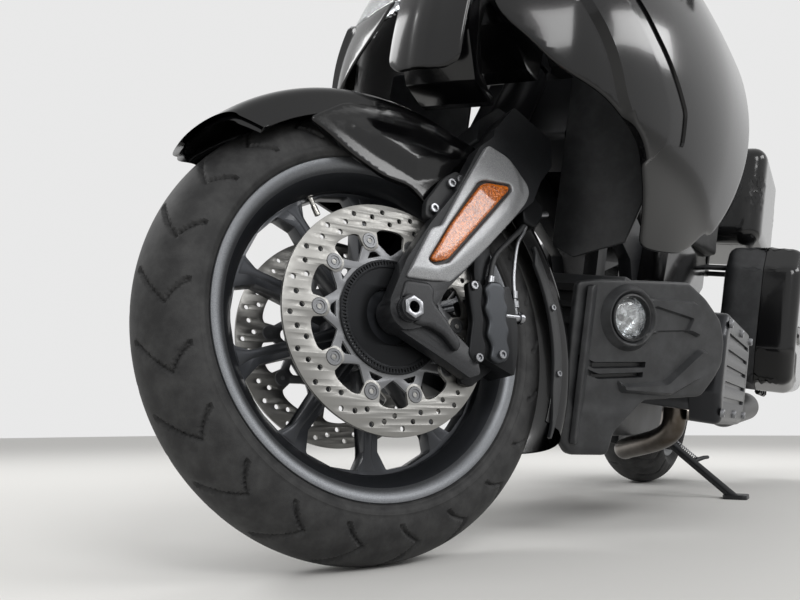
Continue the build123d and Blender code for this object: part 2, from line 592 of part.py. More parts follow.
with BuildPart() as tank_cover:
    for x, width, low, high in ((650, 330, 720, 912), (830, 270, 728, 888), (950, 190, 735, 800)):
        with BuildSketch(across(x)):
            with Locations((0, (low + high) / 2)):
                RectangleRounded(width, high - low, 25)
    loft()
    slab([(600, 640), (600, 781.2), (960, 695.1), (960, 640)], 1, side(106), 212, Mode.SUBTRACT)
    with BuildSketch(LID_PLANE.offset(-LID_DEEP)):
        RectangleRounded(LID_X + 4, LID_Y + 4, 8)
    extrude(amount=60, mode=Mode.SUBTRACT)
    rod(on_lid(0, 0, -LID_DEEP - 1), on_lid(0, 0, -10 - GAP), 26)
    rod(on_lid(HINGE_X, -27, HINGE_Z), on_lid(HINGE_X, 27, HINGE_Z), 4.5, Mode.SUBTRACT)
    lid_block(HINGE_X, HINGE_X + 6, -14, 14, -6, HINGE_Z)
    rod(on_lid(HINGE_X, -14, HINGE_Z), on_lid(HINGE_X, 14, HINGE_Z), 3)
    rod(on_lid(HINGE_X, -24, HINGE_Z), on_lid(HINGE_X, 24, HINGE_Z), 1.5)
hand_in(tank_cover, "tank_cover", place)

with BuildPart() as fuel_lid:
    with BuildSketch(LID_PLANE.offset(-10)):
        RectangleRounded(LID_X, LID_Y, 10)
    extrude(amount=8)
    rod(on_lid(HINGE_X, -15, HINGE_Z), on_lid(HINGE_X, 15, HINGE_Z), 4.5, Mode.SUBTRACT)
    for s in SIDES:
        rod(on_lid(HINGE_X, s * 15, HINGE_Z), on_lid(HINGE_X, s * 25, HINGE_Z), 3)
        rod(on_lid(HINGE_X, s * 14, HINGE_Z), on_lid(HINGE_X, s * 26, HINGE_Z), 1.5 + GAP, Mode.SUBTRACT)
hand_in(fuel_lid, "fuel_lid", place)

SEAT_PLAN = [(955, -95), (1050, -125), (1200, -165), (1390, -190), (1560, -190), (1650, -150)]
with BuildPart() as seat:
    slab([(957, 735), (985, 715), (1000, 700.3), (1450, 735 + GAP), (1640, 757), (1645, 850), (1600, 868),
          (1420, 850), (1370, 800), (1250, 768), (1050, 765), (975, 792)], 4, side(195), 390)
    slab(SEAT_PLAN + [(x, -y) for x, y in reversed(SEAT_PLAN)], 14, Plane.XY.offset(680), 200,
         Mode.INTERSECT)
hand_in(seat, "seat", place)

with BuildPart() as backrest:
    slab([(1655, 900), (TRUNK_X0 - GAP, 900), (TRUNK_X0 - GAP, 1130), (1714, 1150), (1714, 1270),
          (1680, 1285), (1650, 1240)], 6, side(190), 380)
    slab([(-150, 895), (150, 895), (188, 960), (188, 1180), (140, 1288), (-140, 1288), (-188, 1180),
          (-188, 960)], 25, across(1600), 200, Mode.INTERSECT)
hand_in(backrest, "backrest", place)

with BuildPart() as side_covers:
    for s in SIDES:
        side_slab([(980, 560), (1010, 690), (1300, 720), (1540, 740), (1540, 640), (1300, 520),
                   (1080, 480)], 20, s, RAIL_OUT + GAP, 165)
hand_in(side_covers, "side_covers", place)

with BuildPart() as footrests:
    for s in SIDES:
        rod((1070, s * (RAIL_OUT + GAP), 330), (1070, s * 330, 330), 14)
        side_slab([(1290, 430), (1460, 430), (1460, 446), (1290, 446)], 5, s, 190, 300)
        side_slab([(1300, 446), (1330, 446), (1330, 540), (1300, 540)], 5, s, 180, 195)
        rod((1320, s * (125 + GAP), 438), (1320, s * 205, 438), 7)
hand_in(footrests, "footrests", place)

with BuildPart() as exhaust:
    for s in SIDES:
        tube([(640, s * 285, 265 - GAP), (640, s * 285, 215), (760, s * 170, 160), (1080, s * 135, 160),
              (1190, s * 140, 238), (1330, s * 165, 245), (1430, s * 255, 266.7),
              (1500 - GAP, s * 255, 270)], 30, 22)
hand_in(exhaust, "exhaust", place)

with BuildPart() as mufflers:
    for s in SIDES:
        rod((1500, s * 255, 270), (2150, s * 255, 300), 50)
        rod((2090, s * 255, 297.2), (2160, s * 255, 300.5), 40, Mode.SUBTRACT)
hand_in(mufflers, "mufflers", place)

# Single-sided swingarm on the right, with the final drive and the rear axle
with BuildPart() as swingarm:
    slab([(1120 + GAP, 320), (1180, 320), (1180, 400), (1120 + GAP, 400)], 10, side(180), 280)
    side_slab([(1120 + GAP, 320), (WHEELBASE - 135, 270), (WHEELBASE - 55, 270), (WHEELBASE - 55, 370),
               (WHEELBASE - 135, 380), (1120 + GAP, 400)], 12, 1, 125, 180)
    rod((WHEELBASE, 108, REAR_R), (WHEELBASE, 180, REAR_R), 88)
    rod((WHEELBASE, -75, REAR_R), (WHEELBASE, 108, REAR_R), REAR_AXLE_R)
    rod((WHEELBASE, -76, REAR_R), (WHEELBASE, 181, REAR_R), REAR_AXLE_BORE, Mode.SUBTRACT)
hand_in(swingarm, "swingarm", place)

with BuildPart() as rear_caliper:
    caliper(rear_axle, 1, 54, 96, REAR_DISC_Y, 128, 168, 100, 135)
    lug = [at_axle(a, r, rear_axle) for a, r in ((106, 75), (106, 150), (128, 150), (128, 75))]
    side_slab(lug, 4, 1, 90, 108 - GAP)
hand_in(rear_caliper, "rear_caliper", place)

with BuildPart() as rear_fender:
    spin([(-118, 320), (-118, 345), (118, 345), (118, 320), (113, 320), (113, 340), (-113, 340),
          (-113, 320)], rear_axle, -110, 20)
hand_in(rear_fender, "rear_fender", place)

# Side cases: a tub against the bike and a lid that is the outer half, on two hinges below
CASE = [(1560, 470), (1590, 375), (1700, 350), (2100, 370), (2165, 430), (2180, 600), (2150, 735),
        (2050, 785), (1640, 795), (1580, 720)]
CASE_HINGE_Z, KNUCKLE_R, PIN_R = 345.0, 6.5, 3.0
CASE_KNUCKLES = ((1780, 1820, 358), (1920, 1960, 364))
PANEL_LINE = [(1620, 520), (1700, 500), (2120, 520), (2120, 560), (1700, 545), (1640, 560)]


def dished(points, corner, s, closed, mouth, wall):
    """A dish with its floor at closed and its mouth at mouth."""
    side_slab(points, corner, s, min(closed, mouth), max(closed, mouth))
    centre = Vector(sum(x for x, z in points), sum(z for x, z in points)) / len(points)
    shrink = 1 - 2 * wall / 430
    inner = [(centre.X + (x - centre.X) * shrink, centre.Y + (z - centre.Y) * shrink) for x, z in points]
    floor = closed + wall if mouth > closed else closed - wall
    beyond = mouth + 1 if mouth > closed else mouth - 1
    side_slab(inner, corner - wall, s, min(floor, beyond), max(floor, beyond), Mode.SUBTRACT)


for s, word in ((-1, "left"), (1, "right")):
    hinge_y = s * (CASE_SPLIT + 1)
    with BuildPart() as case:
        dished(CASE, 30, s, CASE_IN, CASE_SPLIT, WALL)
        for x0, x1, top in CASE_KNUCKLES:
            side_slab([(x0, CASE_HINGE_Z), (x1, CASE_HINGE_Z), (x1, top), (x0, top)], 1, s,
                      CASE_SPLIT - 10, CASE_SPLIT)
            rod((x0, hinge_y, CASE_HINGE_Z), (x1, hinge_y, CASE_HINGE_Z), KNUCKLE_R)
            rod((x0 - 20, hinge_y, CASE_HINGE_Z), (x1 + 20, hinge_y, CASE_HINGE_Z), PIN_R)
    hand_in(case, f"case_{word}", place)
    with BuildPart() as case_lid:
        dished(CASE, 30, s, CASE_OUT, CASE_SPLIT + 2, WALL)
        side_slab(PANEL_LINE, 8, s, CASE_OUT - 1, CASE_OUT + 6)
        for x0, x1, top in CASE_KNUCKLES:
            for a, b in ((x0 - 22, x0 - 1), (x1 + 1, x1 + 22)):
                side_slab([(a, CASE_HINGE_Z), (b, CASE_HINGE_Z), (b, top), (a, top)], 1, s,
                          CASE_SPLIT + 2, CASE_SPLIT + 12)
                rod((a, hinge_y, CASE_HINGE_Z), (b, hinge_y, CASE_HINGE_Z), KNUCKLE_R)
                rod((a - 1, hinge_y, CASE_HINGE_Z), (b + 1, hinge_y, CASE_HINGE_Z), PIN_R + GAP,
                    Mode.SUBTRACT)
    hand_in(case_lid, f"case_lid_{word}", place)


def box_shell(x0, x1, half, floor, mouth, corner, wall):
    """A rounded tray with its closed side at floor and its mouth at mouth."""
    up_sign = 1 if mouth > floor else -1
    with BuildSketch(Plane.XY.offset(floor), mode=Mode.PRIVATE) as outer:
        with Locations(((x0 + x1) / 2, 0)):
            RectangleRounded(x1 - x0, 2 * half, corner)
    extrude(outer.sketch, amount=mouth - floor)
    with BuildSketch(Plane.XY.offset(floor + up_sign * wall), mode=Mode.PRIVATE) as inner:
        with Locations(((x0 + x1) / 2, 0)):
            RectangleRounded(x1 - x0 - 2 * wall, 2 * half - 2 * wall, corner - wall)
    extrude(inner.sketch, amount=mouth - floor, mode=Mode.SUBTRACT)


TRUNK_HINGE = (TRUNK_X0 + 12, TRUNK_TOP + 1)
with BuildPart() as trunk:
    box_shell(TRUNK_X0, TRUNK_X1, TRUNK_HALF, TRUNK_LOW, TRUNK_SPLIT, 60, WALL)
    x, z = TRUNK_X0, TRUNK_TOP - 8
    slab([(x, TRUNK_SPLIT - 80), (x + 10, TRUNK_SPLIT - 80), (x + 10, z), (x, z)], 2, side(190), 380)
    for s in SIDES:
        slab([(x + 2, z - 5), (x + 10, z - 5), (x + 10, TRUNK_TOP + 1), (x + 2, TRUNK_TOP + 1)], 1,
             side(s * 120 + 20), 40)
        rod((TRUNK_HINGE[0], s * 120 - 20, TRUNK_HINGE[1]), (TRUNK_HINGE[0], s * 120 + 20, TRUNK_HINGE[1]),
            KNUCKLE_R)
        rod((TRUNK_HINGE[0], s * 120 - 40, TRUNK_HINGE[1]), (TRUNK_HINGE[0], s * 120 + 40, TRUNK_HINGE[1]),
            PIN_R)
hand_in(trunk, "trunk", place)

with BuildPart() as trunk_lid:
    box_shell(TRUNK_X0, TRUNK_X1, TRUNK_HALF, TRUNK_TOP, TRUNK_SPLIT + 2, 60, WALL)
    slab([(x - 1, TRUNK_SPLIT - 40), (x + 14, TRUNK_SPLIT - 40), (x + 14, TRUNK_TOP + 20),
          (x - 1, TRUNK_TOP + 20)], 2, side(300), 600, Mode.SUBTRACT)
    for s in SIDES:
        for a in (s * 120 - 42, s * 120 + 21):
            slab([(TRUNK_HINGE[0], TRUNK_TOP - 4), (x + 24, TRUNK_TOP - 4), (x + 24, TRUNK_TOP),
                  (TRUNK_HINGE[0], TRUNK_TOP)], 1, side(a + 21), 21)
            rod((TRUNK_HINGE[0], a, TRUNK_HINGE[1]), (TRUNK_HINGE[0], a + 21, TRUNK_HINGE[1]), KNUCKLE_R)
            rod((TRUNK_HINGE[0], a - 1, TRUNK_HINGE[1]), (TRUNK_HINGE[0], a + 22, TRUNK_HINGE[1]),
                PIN_R + GAP, Mode.SUBTRACT)
        middle = s * 120
        rod((TRUNK_HINGE[0], middle - 20.5, TRUNK_HINGE[1]),
            (TRUNK_HINGE[0], middle + 20.5, TRUNK_HINGE[1]), KNUCKLE_R + 2.5, Mode.SUBTRACT)
    with BuildSketch(Plane.XY.offset(TRUNK_TOP + 1)):
        with Locations(((TRUNK_X0 + TRUNK_X1) / 2, 0)):
            with PolarLocations(RACK_PCD / 2, 4, start_angle=45):
                Circle(RACK_HOLE)
    extrude(amount=-WALL - 2, mode=Mode.SUBTRACT)
hand_in(trunk_lid, "trunk_lid", place)

with BuildPart() as tail_lamps:
    for s in SIDES:
        slab([(s * 120, 870), (s * 250, 870), (s * 250, 930), (s * 120, 930)], 10,
             across(TRUNK_X1 + GAP), 12)
hand_in(tail_lamps, "tail_lamps", place)

# Handlebar: a bent tube on its own post, with grips and switch housings
GRIP_FROM, GRIP_TO = (700, 262, 1076), (790, 387, 1052)
with BuildPart() as handlebar:
    post = Vector(*BAR_PIVOT)
    rod(post - steer_dir * 80, post + steer_dir * 60, BAR_POST_R)
    clamp = post + steer_dir * 60
    rod(post - steer_dir * 5, post + steer_dir * 8, 26)
    slab([(clamp.X - 30, clamp.Z - 10), (clamp.X + 60, clamp.Z - 10), (clamp.X + 60, clamp.Z + 40),
          (clamp.X - 30, clamp.Z + 40)], 8, side(60), 120)
    for s in SIDES:
        tube([(650, 0, 1000), (650, s * 80, 1000), (670, s * 180, 1060), (GRIP_FROM[0], s * GRIP_FROM[1],
              GRIP_FROM[2]), (GRIP_TO[0], s * GRIP_TO[1], GRIP_TO[2])], 28, BAR_R)
hand_in(handlebar, "handlebar", bar_place)


def grip_line(s):
    start = Vector(GRIP_FROM[0], s * GRIP_FROM[1], GRIP_FROM[2])
    end = Vector(GRIP_TO[0], s * GRIP_TO[1], GRIP_TO[2])
    way = (end - start).normalized()
    forward = way.cross(Vector(0, 0, -s)).normalized()
    return start, end, way, forward


with BuildPart() as grips:
    for s in SIDES:
        start, end, way, forward = grip_line(s)
        rod(start + way * 46, end + way * 6, 17)
        rod(start + way * 45, end + way * GAP, BAR_R + GAP, Mode.SUBTRACT)
hand_in(grips, "grips", bar_place)

with BuildPart() as controls:
    for s in SIDES:
        start, end, way, forward = grip_line(s)
        rod(start + way * 16, start + way * 45, 24)
        rod(start + way * 28 + forward * 18, start + way * 28 + forward * 44, 9)
        tube([start + way * 10 + forward * 40, start + way * 50 + forward * 46,
              start + way * 90 + forward * 58, end + forward * 50], 30, 6)
        top = start + way * 22 + forward * 38
        rod(top, top + Vector(0, 0, 34), 17)
        rod(start + way * 15, start + way * 46, BAR_R + GAP, Mode.SUBTRACT)
hand_in(controls, "controls", bar_place)

# Stands
with BuildPart() as side_stand:
    pivot, foot = Vector(*STAND_PIVOT), Vector(*STAND_FOOT)
    leg = (foot - pivot).normalized()
    rod(pivot + leg * 6, foot, 11)
    rod(pivot - stand_axis * 13, pivot + stand_axis * 13, 15)
    ground = (-STAND_FOOT[1] * sin(radians(LEAN)) - rear_lift) / cos(radians(LEAN))
    with BuildSketch(Plane(origin=(STAND_FOOT[0], STAND_FOOT[1], ground), x_dir=(1, 0, 0), z_dir=up)):
        RectangleRounded(70, 56, 12)
    extrude(amount=10)
hand_in(side_stand, "side_stand", place)

with BuildPart() as centre_stand:
    for s in SIDES:
        rod((CENTRE_PIVOT[0], s * 108, CENTRE_PIVOT[2]), (1510, s * 126, 148), 11)
        rod((CENTRE_PIVOT[0], s * 97, CENTRE_PIVOT[2]), (CENTRE_PIVOT[0], s * 119, CENTRE_PIVOT[2]), 15)
        side_slab([(1500, 132), (1560, 132), (1560, 142), (1500, 152)], 3, s, 112, 142)
    rod((CENTRE_PIVOT[0], -119, CENTRE_PIVOT[2]), (CENTRE_PIVOT[0], 119, CENTRE_PIVOT[2]), 9)
    rod((1345, -112, 169), (1345, 112, 169), 8)
hand_in(centre_stand, "centre_stand", place)

# Everything stands with the middle of its outer box above the origin
low_x, high_x = min(p.bounding_box().min.X for p, _ in pieces), max(p.bounding_box().max.X for p, _ in pieces)
low_y, high_y = min(p.bounding_box().min.Y for p, _ in pieces), max(p.bounding_box().max.Y for p, _ in pieces)
to_middle = Location((-(low_x + high_x) / 2, -(low_y + high_y) / 2, 0))
for placed, name in pieces:
    piece = placed.moved(to_middle)
    piece.label = name
    export_step(piece, f"parts/{name}.step")


# Where the joints are, as placed
def where(name, point, direction, turn=place):
    turn = to_middle * turn
    start = (turn * Location(tuple(point))).position
    end = (turn * Location(tuple(Vector(*point) + Vector(*direction)))).position
    way = end - start
    print(name, *(round(v, 5) for v in (*start, *way)))


where("steering", steer_foot, steer_dir)
where("bar", BAR_PIVOT, steer_dir)
where("front_wheel", front_axle, (0, 1, 0), fork_place)
where("rear_wheel", rear_axle, (0, 1, 0))
where("side_stand", STAND_PIVOT, stand_axis)
where("centre_stand", CENTRE_PIVOT, (0, 1, 0))
where("case_lid_left", (1870, -CASE_SPLIT - 1, CASE_HINGE_Z), (1, 0, 0))
where("case_lid_right", (1870, CASE_SPLIT + 1, CASE_HINGE_Z), (-1, 0, 0))
where("trunk_lid", (TRUNK_HINGE[0], 0, TRUNK_HINGE[1]), (0, -1, 0))
where("fuel_lid", on_lid(HINGE_X, 0, HINGE_Z), (0, 1, 0))
where("rack", ((TRUNK_X0 + TRUNK_X1) / 2, 0, TRUNK_TOP), (0, 0, 1))
where("case_space_left", (1870, -CASE_SPLIT, 580), (0, 0, 1))
where("case_space_right", (1870, CASE_SPLIT, 580), (0, 0, 1))
where("trunk_space", ((TRUNK_X0 + TRUNK_X1) / 2, 0, 1000), (0, 0, 1))
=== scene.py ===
import bmesh
import bpy
import json
import numpy as np
from math import cos, pi, radians, sin
from mathutils import Matrix, Vector
from mathutils.geometry import delaunay_2d_cdt


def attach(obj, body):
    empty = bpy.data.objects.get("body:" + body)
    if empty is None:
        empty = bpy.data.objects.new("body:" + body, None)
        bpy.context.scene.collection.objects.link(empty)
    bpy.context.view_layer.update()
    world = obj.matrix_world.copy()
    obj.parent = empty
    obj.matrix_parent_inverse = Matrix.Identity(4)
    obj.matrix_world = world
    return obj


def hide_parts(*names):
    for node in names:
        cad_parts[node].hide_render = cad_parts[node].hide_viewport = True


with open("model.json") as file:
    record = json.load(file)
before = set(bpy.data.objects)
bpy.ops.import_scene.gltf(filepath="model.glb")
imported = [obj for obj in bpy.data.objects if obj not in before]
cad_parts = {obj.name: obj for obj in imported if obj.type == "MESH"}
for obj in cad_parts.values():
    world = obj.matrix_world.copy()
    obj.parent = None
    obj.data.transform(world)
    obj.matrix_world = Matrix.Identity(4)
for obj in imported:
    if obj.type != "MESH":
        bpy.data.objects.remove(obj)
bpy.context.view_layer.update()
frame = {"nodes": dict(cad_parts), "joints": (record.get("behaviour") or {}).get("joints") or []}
nodes = frame["nodes"]
joints = {joint["name"]: joint for joint in frame["joints"]}

# The bike stands on a plain pale floor in soft light. The camera sits low in front of it on the
# left, as the photographer's did, and looks a little upwards along the side.
STEERING = Vector(joints["steering"]["pos_m"])
CAMERA_FROM_STEERING = Vector((-0.74264, -0.59235, 0.17815))
CAMERA_YAW, CAMERA_PITCH, CAMERA_ROLL = radians(30.695), radians(9.966), radians(-0.237)
FLOOR_COLOUR, SKY_COLOUR = "#e4e3e0", "#eeeeee"


def colour(code):
    """sRGB hex to linear: a channel c is ((c + 0.055) / 1.055) ** 2.4, or c / 12.92 near black."""
    channels = [int(code[i:i + 2], 16) / 255 for i in (1, 3, 5)]
    return tuple(c / 12.92 if c <= 0.04045 else ((c + 0.055) / 1.055) ** 2.4 for c in channels) + (1.0,)


def add(tree, kind, **inputs):
    """Adds one node. A capitalised name is a socket, for a value or another node's output, and a
    small one is a setting of the node."""
    made = tree.nodes.new("ShaderNode" + kind)
    for name, value in inputs.items():
        if name[0].islower():
            setattr(made, name, value)
        elif isinstance(value, bpy.types.NodeSocket):
            tree.links.new(value, made.inputs[name.replace("_", " ")])
        else:
            made.inputs[name.replace("_", " ")].default_value = value
    return made


def finish(name, code, **sockets):
    """A material with one shader of that colour, and the tree's own coordinates for its patterns."""
    made = bpy.data.materials.new(name)
    made.use_nodes = True
    tree = made.node_tree
    shader = tree.nodes["Principled BSDF"]
    shader.inputs["Base Color"].default_value = colour(code)
    for socket, value in sockets.items():
        shader.inputs[socket.replace("_", " ")].default_value = value
    return made, tree, shader, add(tree, "TexCoord").outputs["Object"]


camera = bpy.data.objects.new("camera", bpy.data.cameras.new("camera"))
bpy.context.scene.collection.objects.link(camera)
ahead = Vector((cos(CAMERA_YAW) * cos(CAMERA_PITCH), sin(CAMERA_YAW) * cos(CAMERA_PITCH), sin(CAMERA_PITCH)))
right = Vector((sin(CAMERA_YAW), -cos(CAMERA_YAW), 0))
above = right.cross(ahead)
turned = Matrix((right, above, -ahead)).transposed() @ Matrix.Rotation(CAMERA_ROLL, 3, "Z")
camera.matrix_world = Matrix.Translation(STEERING + CAMERA_FROM_STEERING) @ turned.to_4x4()
camera.data.lens, camera.data.sensor_width = 32.66, 36
camera.data.clip_start, camera.data.clip_end = 0.02, 60
bpy.context.scene.camera = camera
bpy.context.scene.view_settings.view_transform = "Standard"

floor_mesh = bpy.data.meshes.new("floor")
floor_mesh.from_pydata([(-14, -14, 0), (14, -14, 0), (14, 14, 0), (-14, 14, 0)], [], [(0, 1, 2, 3)])
floor = bpy.data.objects.new("floor", floor_mesh)
bpy.context.scene.collection.objects.link(floor)
floor_paint, tree, shader, place = finish("matt_floor_paint", FLOOR_COLOUR, Roughness=0.9)
floor_mesh.materials.append(floor_paint)

world = bpy.data.worlds.new("studio")
bpy.context.scene.world = world
world.use_nodes = True
tree = world.node_tree
rays = add(tree, "LightPath").outputs
seen = add(tree, "Math", operation="MAXIMUM")
tree.links.new(rays["Is Camera Ray"], seen.inputs[0])
tree.links.new(rays["Is Transmission Ray"], seen.inputs[1])
shown = add(tree, "Math", operation="MAXIMUM")
tree.links.new(seen.outputs[0], shown.inputs[0])
tree.links.new(rays["Is Glossy Ray"], shown.inputs[1])
soft = add(tree, "Background", Color=colour("#ffffff"), Strength=0.55)
pale = add(tree, "Background", Color=colour(SKY_COLOUR), Strength=0.95)
mixed = add(tree, "MixShader", Fac=shown.outputs[0])
tree.links.new(soft.outputs[0], mixed.inputs[1])
tree.links.new(pale.outputs[0], mixed.inputs[2])
tree.links.new(mixed.outputs[0], tree.nodes["World Output"].inputs["Surface"])

LAMPS = [  # where each lamp hangs, where it points, its two sides and its power
    ((-3.2, -3.0, 3.0), (-0.9, 0, 0.4), (1.6, 1.6), 60),
    ((0.5, -3.6, 2.6), (0.2, 0, 0.5), (2.4, 1.0), 52),
    ((-1.5, 3.2, 3.0), (0, 0, 0.6), (2.0, 1.2), 48),
    ((2.8, 1.0, 3.2), (0.6, 0, 0.7), (2.0, 2.0), 44),
]
for number, (spot, aim, sides, power) in enumerate(LAMPS):
    lamp = bpy.data.objects.new(f"softbox_{number}", bpy.data.lights.new(f"softbox_{number}", "AREA"))
    lamp.data.shape, lamp.data.energy = "RECTANGLE", power
    lamp.data.size, lamp.data.size_y = sides
    lamp.location = spot
    lamp.rotation_euler = (Vector(aim) - Vector(spot)).to_track_quat("-Z", "Y").to_euler()
    bpy.context.scene.collection.objects.link(lamp)


# Tyres: radials of moulded, vulcanised rubber. Hooked sipes cross the shoulders, a moulded ridge
# parts the tread from the plain sidewall, and a second one runs round beside the bead.
def directions(wheel_joint):
    """The ways rearwards, sideways and up, as columns. Sideways is the wheel's axis. On the bike,
    rearwards is a case lid's hinge axis; on the fork, it and up are the steering axis and the way
    square to it, turned by the rake."""
    sideways = Vector(joints[wheel_joint]["axis"]).normalized()
    rake_up = Vector(joints["steering"]["axis"]).normalized()
    if wheel_joint == "rear_wheel_spin":
        rearwards = Vector(joints["case_lid_left_open"]["axis"]).normalized()
        return np.array((rearwards, sideways, rearwards.cross(sideways))).T
    square = sideways.cross(rake_up).normalized()
    rearwards = cos(RAKE) * square + sin(RAKE) * rake_up
    return np.array((rearwards, sideways, cos(RAKE) * rake_up - sin(RAKE) * square)).T


def on_fork(points):
    """Millimetres from the point below the front axle, on the turned fork, to the scene's metres."""
    return (np.asarray(points, float) - (0, 0, FRONT_R)) / 1000 @ FORK_WAYS.T + FRONT_CENTRE


def on_bike(points):
    """Millimetres on the leaning bike, from the point below the front axle, to the scene's metres."""
    return (np.asarray(points, float) - (WHEELBASE, 0, REAR_R)) / 1000 @ BIKE_WAYS.T + REAR_CENTRE


def on_bar(points):
    """Millimetres on the handlebar, which turns about a post of its own, to the scene's metres."""
    return (np.asarray(points, float) - BAR_PIVOT) / 1000 @ FORK_WAYS.T + BAR_CENTRE


RAKE = radians(30.5)
WHEELBASE, FRONT_R, REAR_R = 1695.0, 319.6, 313.2
BAR_PIVOT = (600, 0, 925)
FORK_WAYS, BIKE_WAYS = directions("front_wheel_spin"), directions("rear_wheel_spin")
FRONT_CENTRE = np.array(joints["front_wheel_spin"]["pos_m"])
REAR_CENTRE = np.array(joints["rear_wheel_spin"]["pos_m"])
BAR_CENTRE = np.array(joints["handlebar_turn"]["pos_m"])


def grid_faces(rows, columns, round_rows, round_columns, start=0):
    """Four corners for each cell of a grid; a round direction joins its last row to its first."""
    i = np.arange(rows if round_rows else rows - 1)[:, None]
    j = np.arange(columns if round_columns else columns - 1)[None, :]
    after_i, after_j = (i + 1) % rows, (j + 1) % columns
    corners = (i * columns + j, i * columns + after_j, after_i * columns + after_j, after_i * columns + j)
    return start + np.stack(corners, -1).reshape(-1, 4)


def new_piece(name, points, faces, material, body, smooth=True, normals=True):
    """A mesh from an array of points and one of faces, with its faces turned outwards."""
    mesh = bpy.data.meshes.new(name)
    mesh.from_pydata(np.asarray(points, float).reshape(-1, 3).tolist(), [],
                     [list(map(int, f)) for f in faces])
    if normals:
        shape = bmesh.new()
        shape.from_mesh(mesh)
        bmesh.ops.remove_doubles(shape, verts=shape.verts, dist=1e-6)
        bmesh.ops.recalc_face_normals(shape, faces=shape.faces)
        shape.to_mesh(mesh)
        shape.free()
    if smooth:
        mesh.polygons.foreach_set("use_smooth", np.ones(len(mesh.polygons), bool))
        mesh.set_sharp_from_angle(angle=radians(35))
    mesh.materials.append(material)
    piece = bpy.data.objects.new(name, mesh)
    bpy.context.scene.collection.objects.link(piece)
    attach(piece, body)
    return piece


def wheel_points(angle, radius, y, centre_height):
    """A point of a wheel: angle from straight back, radius from its axle, y along the axle."""
    return np.stack([radius * np.cos(angle), y + 0 * radius * angle, centre_height
                     + radius * np.sin(angle)], -1)


def tyre_section(u, radius, crown, half, bead, lip_r):
    """The outer line for u from 0 to 1, bead to bead: sidewall, then the crown's round arc of
    that crown radius, then the other sidewall. Returns y and distance from the axle."""
    shoulder = np.arcsin(min(half / crown, 1.0))
    side = np.clip(np.minimum(u, 1 - u) / 0.2, 0, 1)
    arc = (np.clip(u, 0.2, 0.8) - 0.5) / 0.3 * shoulder
    y = crown * np.sin(arc)
    r = radius - crown + crown * np.cos(arc)
    shoulder_r = radius - crown + crown * np.cos(shoulder)
    swell = 3.0 * np.sin(side * pi)
    on_wall = side < 1
    wall_y = bead + (half - bead) * side + swell
    wall_r = lip_r + (shoulder_r - lip_r) * side
    return np.where(on_wall, np.sign(u - 0.5) * wall_y, y), np.where(on_wall, wall_r, r)


def tread_depth(angle, y, half, count):
    """How deep the tread is cut: hooks that sweep back from near the middle to a corner near the
    shoulder and turn forwards there; the two sides are half a step apart."""
    across = np.abs(y) / half
    step = 2 * pi / count
    sweep = np.where(across < 0.80, 0.62 * np.maximum(across - 0.2, 0) ** 1.2,
                     0.62 * 0.6 ** 1.2 - 1.3 * (across - 0.80))
    sweep = np.where(across < 0.2, 0, sweep) * 0.44
    phase = (angle - sweep + np.where(y > 0, 0, step / 2)) % step
    near = np.minimum(phase, step - phase)
    width = 0.015
    cut = np.clip(1.6 - near / width * 1.6, 0, 1)
    return cut * np.where((across > 0.2) & (across < 0.985), 1, 0)


def tyre(name, body, node, ways, radius, crown, half, bead, lip_r, around, over, count, material):
    """The tyre as one closed grid: outer line with its cuts, then back inside along the carcass."""
    angle = np.linspace(0, 2 * pi, around, endpoint=False)[:, None]
    u = np.linspace(0, 1, over)[None, :]
    y, r = tyre_section(u, radius, crown, half, bead, lip_r)
    y, r, angle = np.broadcast_arrays(y, r, angle)
    wall = np.minimum(u, 1 - u)
    ridge = 0.9 * np.exp(-((wall - 0.178) / 0.006) ** 2) + 0.7 * np.exp(-((wall - 0.03) / 0.008) ** 2)
    cut = 4.6 * tread_depth(angle, y, half, count) * (wall > 0.185)
    lift = ridge - cut
    middle_r = radius - crown
    out_y, out_r = y / np.hypot(y, r - middle_r), (r - middle_r) / np.hypot(y, r - middle_r)
    outer = wheel_points(angle, r + lift * out_r, y + lift * out_y, FRONT_R if ways is on_fork else REAR_R)
    inner_u = np.linspace(0.97, 0.03, 12)[None, :]
    y, r = tyre_section(inner_u, radius - 9, crown - 9, half - 9, bead - 8, lip_r)
    y, r, angle = np.broadcast_arrays(y, r, angle[:, :1])
    inner = wheel_points(angle, r, y, FRONT_R if ways is on_fork else REAR_R)
    if ways is on_bike:
        outer[..., 0] += WHEELBASE
        inner[..., 0] += WHEELBASE
    points = np.concatenate([outer, inner], 1)
    faces = grid_faces(points.shape[0], points.shape[1], True, True)
    piece = new_piece(name, ways(points), faces, material, body)
    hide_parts(node)
    return piece


TYRE_BLACK = "#171718"
tyre_rubber, tree, shader, place = finish("vulcanised_tyre_rubber", TYRE_BLACK, Roughness=0.68)
# Road dust lies on the rubber in patches of a few centimetres, and the mould's grain is about a
# millimetre wide
patches = add(tree, "TexNoise", Vector=place, Scale=38.0, Detail=5.0, Roughness=0.62)
dust = add(tree, "ValToRGB", Fac=patches.outputs["Fac"])
dust.color_ramp.elements[0].position, dust.color_ramp.elements[0].color = 0.38, colour("#161617")
dust.color_ramp.elements[1].position, dust.color_ramp.elements[1].color = 0.72, colour("#343434")
tree.links.new(dust.outputs["Color"], shader.inputs["Base Color"])
grain = add(tree, "TexNoise", Vector=place, Scale=900.0, Detail=3.0)
skin_bump = add(tree, "Bump", Height=grain.outputs["Fac"], Strength=0.35, Distance=0.0006)
tree.links.new(skin_bump.outputs["Normal"], shader.inputs["Normal"])

tyre("front_tyre_tread", "front_wheel", "front_tyre", on_fork, FRONT_R, 62.0, 62.0, 55.0, 242.4,
     792, 88, 22, tyre_rubber)
tyre("rear_tyre_tread", "rear_wheel", "rear_tyre", on_bike, REAR_R, 105.0, 100.0, 85.0, 214.4,
     400, 56, 20, tyre_rubber)


